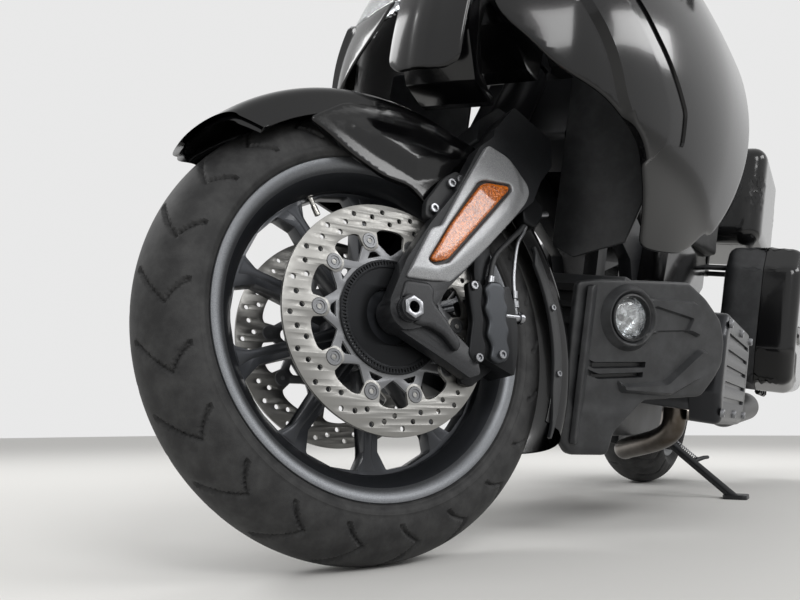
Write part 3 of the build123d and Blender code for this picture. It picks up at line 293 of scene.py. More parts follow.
# Cast wheels: low-pressure aluminium castings, painted dark grey with a fine metal flake under a
# thin clear coat, and turned on the outer lips, which are a satin grey. The castings are the CAD
# solids with their edges rounded as a foundry leaves them.
def rounded(name, node, body, width, material, split=28, segments=2):
    """A copy of a CAD solid, merged, with its flat faces made whole and its edges rounded."""
    mesh = nodes[node].data.copy()
    shape = bmesh.new()
    shape.from_mesh(mesh)
    bmesh.ops.remove_doubles(shape, verts=shape.verts, dist=2e-5)
    bmesh.ops.dissolve_degenerate(shape, dist=2e-5, edges=shape.edges)
    bmesh.ops.dissolve_limit(shape, angle_limit=radians(0.6), verts=shape.verts, edges=shape.edges)
    shape.to_mesh(mesh)
    shape.free()
    mesh.polygons.foreach_set("use_smooth", np.ones(len(mesh.polygons), bool))
    mesh.materials.clear()
    mesh.materials.append(material)
    piece = bpy.data.objects.new(name, mesh)
    bpy.context.scene.collection.objects.link(piece)
    if width:
        edge = piece.modifiers.new("edge", "BEVEL")
        edge.width, edge.segments, edge.limit_method = width / 1000, segments, "ANGLE"
        edge.angle_limit, edge.harden_normals = radians(split), True
        edge.use_clamp_overlap = True
    else:
        mesh.set_sharp_from_angle(angle=radians(split))
    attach(piece, body)
    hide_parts(node)
    return piece


def turned_ring(name, profile, centre, ways, body, material, around=180):
    """A closed outline of (y, radius) points carried once round an axle."""
    y, r = np.array(profile, float).T
    angle = np.linspace(0, 2 * pi, around, endpoint=False)[:, None]
    points = wheel_points(angle, r[None, :], y[None, :], centre[2])
    points[..., 0] += centre[0]
    return new_piece(name, ways(points), grid_faces(around, len(profile), True, True), material, body)


FRONT_AXLE, REAR_AXLE = (0, 0, FRONT_R), (WHEELBASE, 0, REAR_R)
# Metal flake under a millimetre wide varies the gloss from point to point
wheel_paint, tree, shader, place = finish("flake_painted_aluminium", "#34363a", Metallic=0.75, Roughness=0.38,
                                          Coat_Weight=0.35, Coat_Roughness=0.15)
flake = add(tree, "TexVoronoi", Vector=place, Scale=1400.0)
shimmer = add(tree, "MapRange", Value=flake.outputs["Distance"], From_Max=0.8, To_Min=0.30, To_Max=0.46)
tree.links.new(shimmer.outputs["Result"], shader.inputs["Roughness"])

# Fine specks of two greys give the turned lip a satin look
lip_silver, tree, shader, place = finish("turned_lip_silver", "#6c6e71", Metallic=0.85, Roughness=0.42)
speck = add(tree, "TexNoise", Vector=place, Scale=1500.0, Detail=2.0)
tone = add(tree, "ValToRGB", Fac=speck.outputs["Fac"])
tone.color_ramp.elements[0].position, tone.color_ramp.elements[0].color = 0.35, colour("#5a5c5f")
tone.color_ramp.elements[1].position, tone.color_ramp.elements[1].color = 0.65, colour("#7d7f82")
tree.links.new(tone.outputs["Color"], shader.inputs["Base Color"])

rounded("front_wheel_casting", "front_wheel", "front_wheel", 2.5, wheel_paint)
rounded("rear_wheel_casting", "rear_wheel", "rear_wheel", 2.5, wheel_paint)
for side in (-1, 1):
    word = "left" if side < 0 else "right"
    for name, centre, ways, body, half, r in (
            ("front", FRONT_AXLE, on_fork, "front_wheel", 56, 242),
            ("rear", REAR_AXLE, on_bike, "rear_wheel", 86, 214)):
        lip = [(half - 9.5, r - 20), (half - 6, r - 17), (half - 1.5, r - 12), (half + 0.6, r - 4),
               (half + 0.6, r - 1), (half - 0.6, r + 0.1), (half - 4, r - 0.4), (half - 2, r - 5),
               (half - 9, r - 17)]
        turned_ring(f"{name}_rim_lip_{word}", [(side * y, q) for y, q in lip], centre, ways, body, lip_silver)


# Spoke ribs: cast with the wheel, a raised, rounded rib runs down the middle of each of the front
# wheel's spokes
def spoke_rib(turn, side):
    """A rounded bar from the hub to the rim. Its height and half width shrink outwards, and it
    widens again where it meets the rim."""
    t = np.linspace(0, 1, 24)[:, None]
    a = np.linspace(0, pi, 9)[None, :]
    r = 44 + (198 - 44) * t
    wide = 8.5 - 3.0 * t + 9.0 * np.clip((t - 0.82) / 0.18, 0, 1) ** 2
    y = side * ((22 - 11 * (r - 34) / 172) - 1.5 + (5.5 - 3.0 * t) * np.sin(a))
    x, z = r + 0 * a, wide * np.cos(a)
    points = np.stack([x * cos(turn) - z * sin(turn), y, FRONT_R + x * sin(turn) + z * cos(turn)], -1)
    return points


for side in (-1, 1):
    ribs = np.concatenate([spoke_rib(radians(178 + 18 + 36 * k), side).reshape(-1, 3) for k in range(10)])
    faces = np.concatenate([grid_faces(24, 9, False, True, 216 * k) for k in range(10)])
    new_piece("spoke_ribs_left" if side < 0 else "spoke_ribs_right", on_fork(ribs), faces, wheel_paint,
              "front_wheel")

# Tyre valve: a stem and a cap of nickel-plated brass, turned in steps of a few millimetres and
# pushed through the well of the front rim
# A fine wave stands for the knurl, which catches the light in bands
valve_brass, tree, shader, place = finish("nickel_plated_brass", "#b9b7b2", Metallic=1.0, Roughness=0.25)
knurl = add(tree, "TexWave", Vector=place, Scale=420.0, Distortion=1.0)
knurl_bump = add(tree, "Bump", Height=knurl.outputs["Fac"], Strength=0.4, Distance=0.0003)
tree.links.new(knurl_bump.outputs["Normal"], shader.inputs["Normal"])


def along(path, radii, sides=16):
    """A tube of changing radius: at each point of the path a ring square to the path's direction."""
    path, radii = np.array(path, float), np.array(radii, float)
    way = np.gradient(path, axis=0)
    way /= np.linalg.norm(way, axis=1)[:, None]
    guide = np.array((0.31, 0.87, 0.38))
    if abs(way[0] @ guide) >= 0.9:
        guide = np.array((0.9, -0.1, 0.4))
    first = np.cross(way, guide)
    first /= np.linalg.norm(first, axis=1)[:, None]
    second = np.cross(way, first)
    a = np.linspace(0, 2 * pi, sides, endpoint=False)
    ring = first[:, None] * np.cos(a)[None, :, None] + second[:, None] * np.sin(a)[None, :, None]
    points = path[:, None] + ring * radii[:, None, None]
    faces = [tuple(f) for f in grid_faces(len(path), sides, False, True)]
    faces += [tuple(range(sides)), tuple(range((len(path) - 1) * sides, len(path) * sides))]
    return points.reshape(-1, 3), faces


valve_turn = radians(115)
out = np.array((cos(valve_turn), 0, sin(valve_turn)))
base = np.array(FRONT_AXLE) + out * 205
steps = [0, 2, 4, 14, 15, 17, 30, 31]
points, faces = along([base - out * s + (0, -14, 0) for s in steps], [6, 6, 4, 3.6, 3.6, 4.4, 4.4, 3.4])
new_piece("tyre_valve", on_fork(points), faces, valve_brass, "front_wheel")


# Brake discs: floating rotors of punched, ground stainless steel, each held by ten bobbins on a
# carrier of forged aluminium. The pads have polished the ground face unevenly.
def plate(name, loops, y, thick, centre, ways, body, material, edge=0.25):
    """A flat plate square to an axle: closed loops of (x, z) points, the first the outline and the
    others its holes, filled and given a thickness with a small rounded edge."""
    curve = bpy.data.curves.new(name, "CURVE")
    curve.dimensions, curve.fill_mode = "2D", "BOTH"
    curve.extrude, curve.bevel_depth, curve.bevel_resolution = thick / 2 - edge, edge, 1
    for loop in loops:
        loop = np.asarray(loop, float)
        spline = curve.splines.new("POLY")
        spline.points.add(len(loop) - 1)
        spline.points.foreach_set("co",
                                  np.column_stack([loop, np.zeros(len(loop)), np.ones(len(loop))]).ravel())
        spline.use_cyclic_u = True
    flat = bpy.data.objects.new(name, curve)
    bpy.context.scene.collection.objects.link(flat)
    bpy.context.view_layer.update()
    mesh = bpy.data.meshes.new_from_object(flat)
    bpy.data.objects.remove(flat)
    co = np.zeros(len(mesh.vertices) * 3)
    mesh.vertices.foreach_get("co", co)
    co = co.reshape(-1, 3)
    placed = ways(np.stack([co[:, 0] + centre[0], y + co[:, 2], co[:, 1] + centre[2]], -1))
    mesh.vertices.foreach_set("co", placed.ravel())
    shape = bmesh.new()
    shape.from_mesh(mesh)
    bmesh.ops.remove_doubles(shape, verts=shape.verts, dist=1e-6)
    bmesh.ops.recalc_face_normals(shape, faces=shape.faces)
    shape.to_mesh(mesh)
    shape.free()
    mesh.polygons.foreach_set("use_smooth", np.ones(len(mesh.polygons), bool))
    mesh.set_sharp_from_angle(angle=radians(40))
    mesh.materials.clear()
    mesh.materials.append(material)
    piece = bpy.data.objects.new(name, mesh)
    bpy.context.scene.collection.objects.link(piece)
    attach(piece, body)
    return piece


def circle(x, z, r, sides=20):
    """Points of a circle."""
    a = np.linspace(0, 2 * pi, sides, endpoint=False)
    return np.stack([x + r * np.cos(a), z + r * np.sin(a)], -1)


def polar(r, degrees):
    """(x, z) of a radius and an angle."""
    return r * np.cos(np.radians(degrees)), r * np.sin(np.radians(degrees))


BOBBINS, BOBBIN_RING, FIRST_BOBBIN = 10, 108.5, 178
ROTOR_R, ROTOR_IN = 160.0, 124.0
CARRIER_Y = 78.5


def rotor_loops():
    """The rotor's rim, its inner edge, which dips inwards round each bobbin, and its drilled holes:
    twenty slanted rows of three."""
    a = np.linspace(0, 360, 720, endpoint=False)
    off = (a - FIRST_BOBBIN + 18) % 36 - 18
    reach = np.sqrt(np.maximum(14.5 ** 2 - (BOBBIN_RING * np.sin(np.radians(off))) ** 2, 0))
    boss = BOBBIN_RING * np.cos(np.radians(off)) - reach
    flare = ROTOR_IN - 5.0 * np.exp(-(np.abs(off) - 7.2).clip(0) / 2.2)
    inner = np.where(np.abs(off) < 7.0, np.minimum(boss, flare), flare)
    holes = [circle(*polar(r, 164.8 + 18 * k + shift), 3.9, 16) for k in range(20)
             for r, shift in ((149.5, 0.0), (142.0, 7.0), (133.0, 13.5))]
    bobbin_holes = [circle(*polar(BOBBIN_RING, FIRST_BOBBIN + 36 * k), 8.0, 20) for k in range(BOBBINS)]
    return [circle(0, 0, ROTOR_R, 360), np.stack(polar(inner, a), -1)] + holes, bobbin_holes


def carrier_loops(centre_hole):
    """The carrier's outline zigzags between its bobbin bosses, each held by two slim arms with a
    three-cornered window between them."""
    outline, windows = [], []
    for k in range(BOBBINS):
        at = FIRST_BOBBIN + 36 * k
        x, z = polar(BOBBIN_RING, at)
        outline += [polar(86, at - 18), polar(90, at - 14)]
        boss = np.radians(at + np.linspace(-112, 112, 13))
        outline += [(x + 11.5 * cos(b), z + 11.5 * sin(b)) for b in boss]
        outline += [polar(90, at + 14)]
        windows.append([polar(85, at - 8), polar(92.5, at - 3.2), polar(93.5, at), polar(92.5, at + 3.2),
                        polar(85, at + 8), polar(84.2, at)])
    return [np.array(outline), circle(0, 0, centre_hole, 60)] + [np.array(w) for w in windows]


# Fine noise varies the gloss, where the pads have polished the ground steel
ground_steel, tree, shader, place = finish("ground_stainless_steel", "#8c8b88", Metallic=1.0, Roughness=0.36,
                                           Anisotropic=0.5)
scratches = add(tree, "TexNoise", Vector=place, Scale=260.0, Detail=6.0, Roughness=0.7)
worn = add(tree, "MapRange", Value=scratches.outputs["Fac"], From_Min=0.3, From_Max=0.7, To_Min=0.3,
           To_Max=0.5)
tree.links.new(worn.outputs["Result"], shader.inputs["Roughness"])

# The forged skin's bumps, about 1.5 mm wide, break the light up a little
forged_alloy, tree, shader, place = finish("forged_aluminium", "#747577", Metallic=0.9, Roughness=0.38)
scale_noise = add(tree, "TexNoise", Vector=place, Scale=700.0, Detail=3.0)
scale_bump = add(tree, "Bump", Height=scale_noise.outputs["Fac"], Strength=0.25, Distance=0.0004)
tree.links.new(scale_bump.outputs["Normal"], shader.inputs["Normal"])

# The oxide varies the steel's gloss in spots of about 3 mm
black_steel, tree, shader, place = finish("oxidised_black_steel", "#1c1d1f", Metallic=0.8, Roughness=0.42)
oxide = add(tree, "TexNoise", Vector=place, Scale=300.0, Detail=4.0)
oxide_rough = add(tree, "MapRange", Value=oxide.outputs["Fac"], To_Min=0.32, To_Max=0.55)
tree.links.new(oxide_rough.outputs["Result"], shader.inputs["Roughness"])

DISC_SETS = [("front_left", -CARRIER_Y, FRONT_AXLE, on_fork, "front_wheel", -1),
             ("front_right", CARRIER_Y, FRONT_AXLE, on_fork, "front_wheel", 1),
             ("rear", 72.0, REAR_AXLE, on_bike, "rear_wheel", 1)]
rotor, bobbin_holes = rotor_loops()
for name, y, centre, ways, body, side in DISC_SETS:
    plate(f"{name}_rotor", rotor, y, 4.8, centre, ways, body, ground_steel, 0.3)
    plate(f"{name}_disc_carrier", carrier_loops(40), y - side * 0.6, 4.4, centre, ways, body, forged_alloy,
          0.7)
    floats = []
    for k in range(BOBBINS):
        x, z = polar(BOBBIN_RING, FIRST_BOBBIN + 36 * k)
        profile = np.array([(2.4, 11.4), (3.6, 10.6), (3.6, 7.4), (2.6, 7.0), (2.6, 4.8), (3.2, 4.6),
                            (3.2, 3.4), (-3.2, 3.4), (-3.2, 10.6), (-2.4, 11.4)])
        a = np.linspace(0, 2 * pi, 24, endpoint=False)[:, None]
        ring = np.stack([centre[0] + x + profile[:, 1] * np.cos(a), y + side * profile[:, 0] + 0 * a,
                         centre[2] + z + profile[:, 1] * np.sin(a)], -1)
        floats.append(ring.reshape(-1, 3))
    count = len(floats[0])
    faces = np.concatenate([grid_faces(24, 10, True, True, count * k) for k in range(BOBBINS)])
    new_piece(f"{name}_bobbins", ways(np.concatenate(floats)), faces, forged_alloy, body)
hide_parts("front_discs")
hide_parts("rear_disc")


# Tone rings: punched black steel rings, each on a flat seat beside its disc. Their slots pass the
# wheel speed sensor.
def tone_ring_loops(slots=96):
    """Two circles, and between them a ring of small radial slots."""
    cut = []
    for k in range(slots):
        at = 360 / slots * k
        cut.append([polar(71.8, at - 0.95), polar(77.2, at - 0.95), polar(77.2, at + 0.95),
                    polar(71.8, at + 0.95)])
    return [circle(0, 0, 79.5, 180), circle(0, 0, 68.5, 120)] + [np.array(c) for c in cut]


for name, y, centre, ways, body, side in DISC_SETS:
    plate(f"{name}_tone_ring", tone_ring_loops(), y + side * 3.6, 2.0, centre, ways, body, black_steel, 0.2)
    plate(f"{name}_tone_ring_seat", [circle(0, 0, 70.5, 90), circle(0, 0, 40, 60)], y + side * 2.6, 2.2,
          centre, ways, body, black_steel, 0.2)


# Fork: two black cast uprights with silver painted covers on their outer faces. Each cover is a
# die-cast shell with a chamfer along its back, and a moulded reflector sits in its recess.
def soft(points, reach, steps=6):
    """Rounds each corner of a closed outline with a quadratic curve, which starts and ends the
    given reach from it, or near the middle of a shorter side."""
    corner = np.asarray(points, float)
    ends = []
    for step in (1, -1):
        way = np.roll(corner, step, 0) - corner
        size = np.linalg.norm(way, axis=1)[:, None]
        ends.append(corner + way / size * np.minimum(reach, 0.48 * size))
    t = np.linspace(0, 1, steps)[None, :, None]
    curve = (1 - t) ** 2 * ends[0][:, None] + 2 * t * (1 - t) * corner[:, None] + t ** 2 * ends[1][:, None]
    return curve.reshape(-1, corner.shape[1])


def inside(points, outline):
    """How far each point lies inside an outline, negative outside: its distance to the nearest
    side, with the sign from how often a ray from it crosses the sides."""
    a = np.asarray(outline, float)
    b = np.roll(a, -1, 0)
    p, way = points[:, None], b - a
    t = np.clip(((p - a) * way).sum(-1) / np.maximum((way ** 2).sum(-1), 1e-9), 0, 1)
    near = np.linalg.norm(p - a - t[..., None] * way, axis=-1).min(1)
    level = np.where(way[:, 1] == 0, 1e-9, way[:, 1])
    crossed = ((a[:, 1] > p[..., 1]) != (b[:, 1] > p[..., 1])) & (
        p[..., 0] < a[:, 0] + (p[..., 1] - a[:, 1]) * way[:, 0] / level)
    return near * np.where(crossed.sum(1) % 2 == 1, 1, -1)


def roll(distance, radius):
    """How far a face drops near its edge, along a quarter of a circle of that radius."""
    return radius - np.sqrt(np.maximum(radius ** 2 - np.maximum(radius - distance, 0) ** 2, 0))


def ramp(distance, width):
    """Rises smoothly from 0 to 1 over a width, as 3 t squared less 2 t cubed."""
    t = np.clip(distance / width, 0, 1)
    return t * t * (3 - 2 * t)


def dense(loop, step):
    """The same closed outline with its points evenly spaced, at most a step apart."""
    closed = np.concatenate([loop, loop[:1]])
    length = np.concatenate([[0], np.cumsum(np.linalg.norm(np.diff(closed, axis=0), axis=1))])
    even = np.linspace(0, length[-1], int(np.ceil(length[-1] / step)), endpoint=False)
    return np.stack([np.interp(even, length, closed[:, k]) for k in (0, 1)], -1)


def beside(loop, reach):
    """The outline moved sideways by a reach, square to itself."""
    way = np.roll(loop, -1, 0) - np.roll(loop, 1, 0)
    return loop + reach * np.stack([-way[:, 1], way[:, 0]], -1) / np.linalg.norm(way, axis=1)[:, None]


def panel(name, loops, step, shape, ways, body, material, rim=2.0, creases=(), angle=35):
    """A moulded panel. A grid of points inside the first outline and outside the others, with
    rows of points along each edge and each crease (an outline and the width of its slope), is
    joined into triangles; shape(u, v, distance from the edge) then gives the front and the back
    of the wall at each point."""
    loops = [np.asarray(loop, float) for loop in loops]

    def room(points):
        return np.minimum.reduce([inside(points, loops[0])] + [-inside(points, hole) for hole in loops[1:]])

    borders = [dense(loop, 0.8 * step) for loop in loops]
    low, high = loops[0].min(0), loops[0].max(0)
    u, v = np.meshgrid(np.arange(low[0], high[0], step), np.arange(low[1], high[1], step))
    middle = np.stack([u.ravel(), v.ravel()], -1)
    keep = room(middle) > rim + 0.35 * step
    rows = []
    for border in borders:
        rows += [(beside(border, sign * share * rim), 0.9 * share * rim) for share in (0.15, 0.5, 1.0)
                 for sign in (-1, 1)]
    for line, width in creases:
        depth = inside(middle, line)
        keep &= (depth < -0.45 * step) | (depth > width + 0.45 * step)
        rows += [(row[abs(inside(row, line) - share * width) < 0.1 * width + 0.1], rim + 0.3)
                 for share in (0, 0.5, 1)
                 for sign in (-1, 1) for row in [beside(dense(line, 0.6 * step), sign * share * width)]]
    points = borders + [middle[keep]] + [row[room(row) > least] for row, least in rows if len(row)]
    starts = np.cumsum([0] + [len(border) for border in borders])
    edges = [(a + k, a + (k + 1) % (b - a)) for a, b in zip(starts[:-1], starts[1:]) for k in range(b - a)]
    flat = [Vector(p) for p in np.concatenate(points).tolist()]
    corners, _, triangles, _, _, _ = delaunay_2d_cdt(flat, edges, [], 0, 0.05, False)
    flat, triangles = np.array(corners), np.array([t[:3] for t in triangles])
    triangles = triangles[room(flat[triangles].mean(1)) > 0]
    used, triangles = np.unique(triangles, return_inverse=True)
    flat, triangles = flat[used], triangles.reshape(-1, 3)
    front, back = shape(flat[:, 0], flat[:, 1], np.maximum(room(flat), 0))
    sides = np.concatenate([triangles[:, [0, 1]], triangles[:, [1, 2]], triangles[:, [2, 0]]])
    _, first, count = np.unique(np.sort(sides, 1), axis=0, return_index=True, return_counts=True)
    border, n = sides[first[count == 1]], len(flat)
    wall = np.stack([border[:, 1], border[:, 0], border[:, 0] + n, border[:, 1] + n], -1)
    faces = triangles.tolist() + (triangles[:, ::-1] + n).tolist() + wall.tolist()
    piece = new_piece(name, ways(np.concatenate([front, back])), faces, material, body)
    piece.data.set_sharp_from_angle(angle=radians(angle))
    return piece


def upright(s, outer, inner, edge=2.0, lift=None):
    """A panel that stands at the side, from y inner to y outer, rolled off at its edges, plus a
    relief of the given lift at each (x, z)."""
    def shape(u, v, distance):
        y = outer - roll(distance, edge) + (lift(np.stack([u, v], -1)) if lift else 0)
        return np.stack([u, s * y, v], -1), np.stack([u, 0 * u + s * inner, v], -1)
    return shape


def cap_screws(name, places, way, radius, ways, body, material, sides=24):
    """Cap screws in one mesh: a rounded head turned about its axis, and a socket whose radius
    follows a hexagon."""
    way = np.array(way, float) / np.linalg.norm(way)
    first = np.cross(way, (0.2, 0.3, 0.93))
    first /= np.linalg.norm(first)
    second = np.cross(way, first)
    a = np.linspace(0, 2 * pi, sides, endpoint=False)
    six = cos(pi / 6) / np.cos((a + pi / 6) % (pi / 3) - pi / 6)
    rows = [(0, 1.0, 0), (0.55, 1.0, 0), (0.72, 0.97, 0), (0.82, 0.86, 0), (0.82, 0.58, 1), (0.35, 0.55, 1),
            (0.30, 0.02, 0)]
    ring = np.stack([h * way + r * np.where(hexed, six, 1)[:, None] * (
        np.cos(a)[:, None] * first + np.sin(a)[:, None] * second) for h, r, hexed in rows])
    points = np.concatenate([(ring * radius + place).reshape(-1, 3) for place in np.asarray(places, float)])
    faces = np.concatenate([grid_faces(len(rows), sides, False, True, k * sides * len(rows))
                            for k in range(len(places))])
    return new_piece(name, ways(points), faces, material, body)


def smooth_line(points, count):
    """A curve through the points: each span is the cubic whose slope at a point is half the step
    between its neighbours."""
    p = np.asarray(points, float)
    p = np.concatenate([[2 * p[0] - p[1]], p, [2 * p[-1] - p[-2]]])
    u = np.linspace(0, len(p) - 3 - 1e-9, count)
    k = u.astype(int)
    t = (u - k)[:, None]
    a, b, c, d = p[k], p[k + 1], p[k + 2], p[k + 3]
    return b + t * (c - a) / 2 + t ** 2 * (a - 2.5 * b + 2 * c - d / 2) + t ** 3 * (1.5 * (b - c)
                                                                                    + (d - a) / 2)


COVER_LINE = [(160, 593), (192, 583), (222, 566), (240, 547), (243, 532), (233, 514), (206, 486), (150, 432),
              (98, 386), (73, 367), (38, 364), (-1, 364), (20, 400), (44, 440), (62, 446), (111, 522)]
COVER_CREST = [(158, 600), (196, 588), (214, 550), (214, 530), (190, 492), (132, 436), (80, 392), (50, 376),
               (-20, 376), (-20, 420), (60, 560)]
RECESS_LINE = [(134, 526), (148, 533), (198, 536), (201, 526), (69, 392), (44, 385), (33, 391), (75, 451)]
LENS_LINE = [(138, 522), (150, 529), (193, 532), (195, 526), (69, 398), (48, 391), (39, 394), (78, 450)]
FOOT_LINE = [(-1, 361), (38, 361), (46, 350), (41, 336), (63, 311), (84, 280), (76, 268), (56, 290),
             (34, 300), (14, 300), (-8, 312), (-12, 332)]

silver_paint, tree, shader, place = finish("silver_metallic_paint", "#8d8e90", Metallic=0.55, Roughness=0.42,
                                           Coat_Weight=0.25, Coat_Roughness=0.2)
# Aluminium flake of about half a millimetre sparkles in the silver coat
flake = add(tree, "TexNoise", Vector=place, Scale=1300.0, Detail=2.0, Roughness=0.6)
tone = add(tree, "ValToRGB", Fac=flake.outputs["Fac"])
tone.color_ramp.elements[0].position, tone.color_ramp.elements[0].color = 0.36, colour("#77787a")
tone.color_ramp.elements[1].position, tone.color_ramp.elements[1].color = 0.66, colour("#b3b4b6")
tree.links.new(tone.outputs["Color"], shader.inputs["Base Color"])
flake_bump = add(tree, "Bump", Height=flake.outputs["Fac"], Strength=0.22, Distance=0.0004)
tree.links.new(flake_bump.outputs["Normal"], shader.inputs["Normal"])

gloss_black, tree, shader, place = finish("black_clearcoated_abs", "#060607", Roughness=0.16, IOR=1.42,
                                          Coat_Weight=0.2, Coat_Roughness=0.03)
# The clear coat flows a little as it dries: a faint waviness some 8 mm long, and fine flake below
flow = add(tree, "TexNoise", Vector=place, Scale=120.0, Detail=1.0)
flow_bump = add(tree, "Bump", Height=flow.outputs["Fac"], Strength=0.05, Distance=0.0006)
tree.links.new(flow_bump.outputs["Normal"], shader.inputs["Coat Normal"])
sparkle = add(tree, "TexNoise", Vector=place, Scale=1500.0, Detail=1.0)
flake_tone = add(tree, "ValToRGB", Fac=sparkle.outputs["Fac"])
flake_tone.color_ramp.elements[0].position, flake_tone.color_ramp.elements[0].color = 0.62, colour("#060607")
flake_tone.color_ramp.elements[1].position, flake_tone.color_ramp.elements[1].color = 0.74, colour("#1b1b1d")
tree.links.new(flake_tone.outputs["Color"], shader.inputs["Base Color"])

moulded_abs, tree, shader, place = finish("grained_black_abs", "#1c1d1f", Roughness=0.5)
# The mould's grain: a fine leather-like net of about 0.9 mm. Its gloss varies in soft patches of a
# few centimetres.
grain = add(tree, "TexVoronoi", Vector=place, Scale=1150.0, feature="SMOOTH_F1")
grain_bump = add(tree, "Bump", Height=grain.outputs["Distance"], Strength=0.3, Distance=0.0004)
tree.links.new(grain_bump.outputs["Normal"], shader.inputs["Normal"])
cloud = add(tree, "TexNoise", Vector=place, Scale=22.0, Detail=4.0)
cloud_rough = add(tree, "MapRange", Value=cloud.outputs["Fac"], To_Min=0.42, To_Max=0.6)
tree.links.new(cloud_rough.outputs["Result"], shader.inputs["Roughness"])

amber_acrylic, tree, shader, place = finish("amber_prism_acrylic", "#a85a06", Roughness=0.16, IOR=1.49,
                                            Coat_Weight=0.8, Coat_Roughness=0.04)
# Cube corners about 2.5 mm wide are moulded into the back and throw the light about in cells;
# the cells' darker and brighter ambers are painted reflections
prisms = add(tree, "TexVoronoi", Vector=place, Scale=420.0)
prism_painted_glints = add(tree, "ValToRGB", Fac=prisms.outputs["Color"])
prism_painted_glints.color_ramp.elements[0].position, prism_painted_glints.color_ramp.elements[0].color = 0.15, colour("#7a3600")
prism_painted_glints.color_ramp.elements[1].position, prism_painted_glints.color_ramp.elements[1].color = 0.85, colour("#d4700a")
tree.links.new(prism_painted_glints.outputs["Color"], shader.inputs["Base Color"])
prism_bump = add(tree, "Bump", Height=prisms.outputs["Distance"], Strength=0.5, Distance=0.0008)
tree.links.new(prism_bump.outputs["Normal"], shader.inputs["Normal"])

# The plating is cloudy: its gloss varies in spots of about 2 mm
zinc_steel, tree, shader, place = finish("zinc_plated_steel", "#8f9093", Metallic=1.0, Roughness=0.3)
plating = add(tree, "TexNoise", Vector=place, Scale=500.0, Detail=4.0)
plating_rough = add(tree, "MapRange", Value=plating.outputs["Fac"], To_Min=0.2, To_Max=0.42)
tree.links.new(plating_rough.outputs["Result"], shader.inputs["Roughness"])

# The sand-cast skin shows through the paint as bumps and paler specks about 1.3 mm wide
leg_black, tree, shader, place = finish("black_painted_casting", "#17181a", Metallic=0.3, Roughness=0.42)
sand = add(tree, "TexNoise", Vector=place, Scale=800.0, Detail=3.0)
sand_bump = add(tree, "Bump", Height=sand.outputs["Fac"], Strength=0.3, Distance=0.0005)
tree.links.new(sand_bump.outputs["Normal"], shader.inputs["Normal"])
sand_tone = add(tree, "ValToRGB", Fac=sand.outputs["Fac"])
sand_tone.color_ramp.elements[0].position, sand_tone.color_ramp.elements[0].color = 0.35, colour("#131416")
sand_tone.color_ramp.elements[1].position, sand_tone.color_ramp.elements[1].color = 0.7, colour("#2c2d30")
tree.links.new(sand_tone.outputs["Color"], shader.inputs["Base Color"])

rounded("fork_castings", "fork_holder", "fork", 3.0, leg_black)
cover_parts, lens_parts = [], []
for s, word in ((-1, "left"), (1, "right")):
    cover_parts.append(panel(
        f"fork_cover_{word}", [soft(COVER_LINE, 7), soft(RECESS_LINE, 5)], 4.0,
        upright(s, 126.5, 118.3, 2.2, lambda p: -0.42 * np.clip(-inside(p, COVER_CREST), 0, 16)),
        on_fork, "fork", silver_paint))
    panel(f"reflector_well_{word}", [soft(RECESS_LINE, 5)], 8.0, upright(s, 120.0, 118.4, 0.3), on_fork,
          "fork", moulded_abs, 0.5)
    lens_parts.append(panel(f"fork_reflector_{word}", [soft(LENS_LINE, 4)], 4.0,
                            upright(s, 125.6, 119.6, 2.5), on_fork, "fork", amber_acrylic))
    panel(f"fork_foot_{word}", [soft(FOOT_LINE, 6), circle(0, FRONT_R, 17.3, 40)], 4.0,
          upright(s, 121.5, 112.5, 4.0), on_fork, "fork", leg_black, 4.0)
    turned_ring(f"axle_washer_{word}", [(s * 121, 9.5), (s * 121, 17), (s * 125, 17), (s * 126.5, 15.5),
                                        (s * 126.5, 9.5)], FRONT_AXLE, on_fork, "fork", zinc_steel, 60)
    six = [polar(14.5, 30 + 60 * k) for k in range(6)]
    plate(f"axle_hexagon_{word}", [six, circle(0, 0, 8.6, 36)], s * 131.0, 10.0, FRONT_AXLE, on_fork, "fork",
          zinc_steel, 1.0)
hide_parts("fork_covers")
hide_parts("fork_reflectors")
cap_screws("fender_screws_left", [(66, -101, 480), (101, -101, 526), (119, -101, 535)], (0, -1, 0), 7.5,
           on_fork, "fork", zinc_steel)
cap_screws("fender_screws_right", [(66, 101, 480), (101, 101, 526), (119, 101, 535)], (0, 1, 0), 7.5, on_fork,
           "fork", zinc_steel)
TAB_LINE = [(52, 466), (76, 462), (84, 482), (120, 512), (134, 540), (116, 552), (92, 536), (56, 492)]
for s, word in ((-1, "left"), (1, "right")):
    panel(f"fender_tab_{word}", [soft(TAB_LINE, 8)], 6.0, upright(s, 101, 90, 2.5), on_fork, "fork",
          moulded_abs)


# Calipers: monobloc castings, anodised black. The front ones sit over the back of each disc; a
# grey bar ties their pistons' bores, and a formed steel brake pipe comes down from a block on the
# fork.
CALIPER_BAR = [(136, 366), (148, 378), (166, 378), (176, 368), (172, 352), (178, 340), (171, 322), (176, 306),
               (169, 292), (173, 276), (166, 262), (148, 257), (135, 264), (141, 282), (133, 298), (140, 318),
               (133, 336), (140, 350)]
CALIPER_PLATE = [(108, 372), (130, 380), (137, 366), (131, 340), (134, 318), (129, 298), (134, 280),
                 (128, 262), (110, 256), (100, 268), (112, 318)]

# The anodised layer varies in gloss in spots of about 1.6 mm
anodised_black, tree, shader, place = finish("black_anodised_aluminium", "#141517", Metallic=0.7,
                                             Roughness=0.4)
seal = add(tree, "TexNoise", Vector=place, Scale=620.0, Detail=3.0)
seal_rough = add(tree, "MapRange", Value=seal.outputs["Fac"], To_Min=0.3, To_Max=0.52)
tree.links.new(seal_rough.outputs["Result"], shader.inputs["Roughness"])

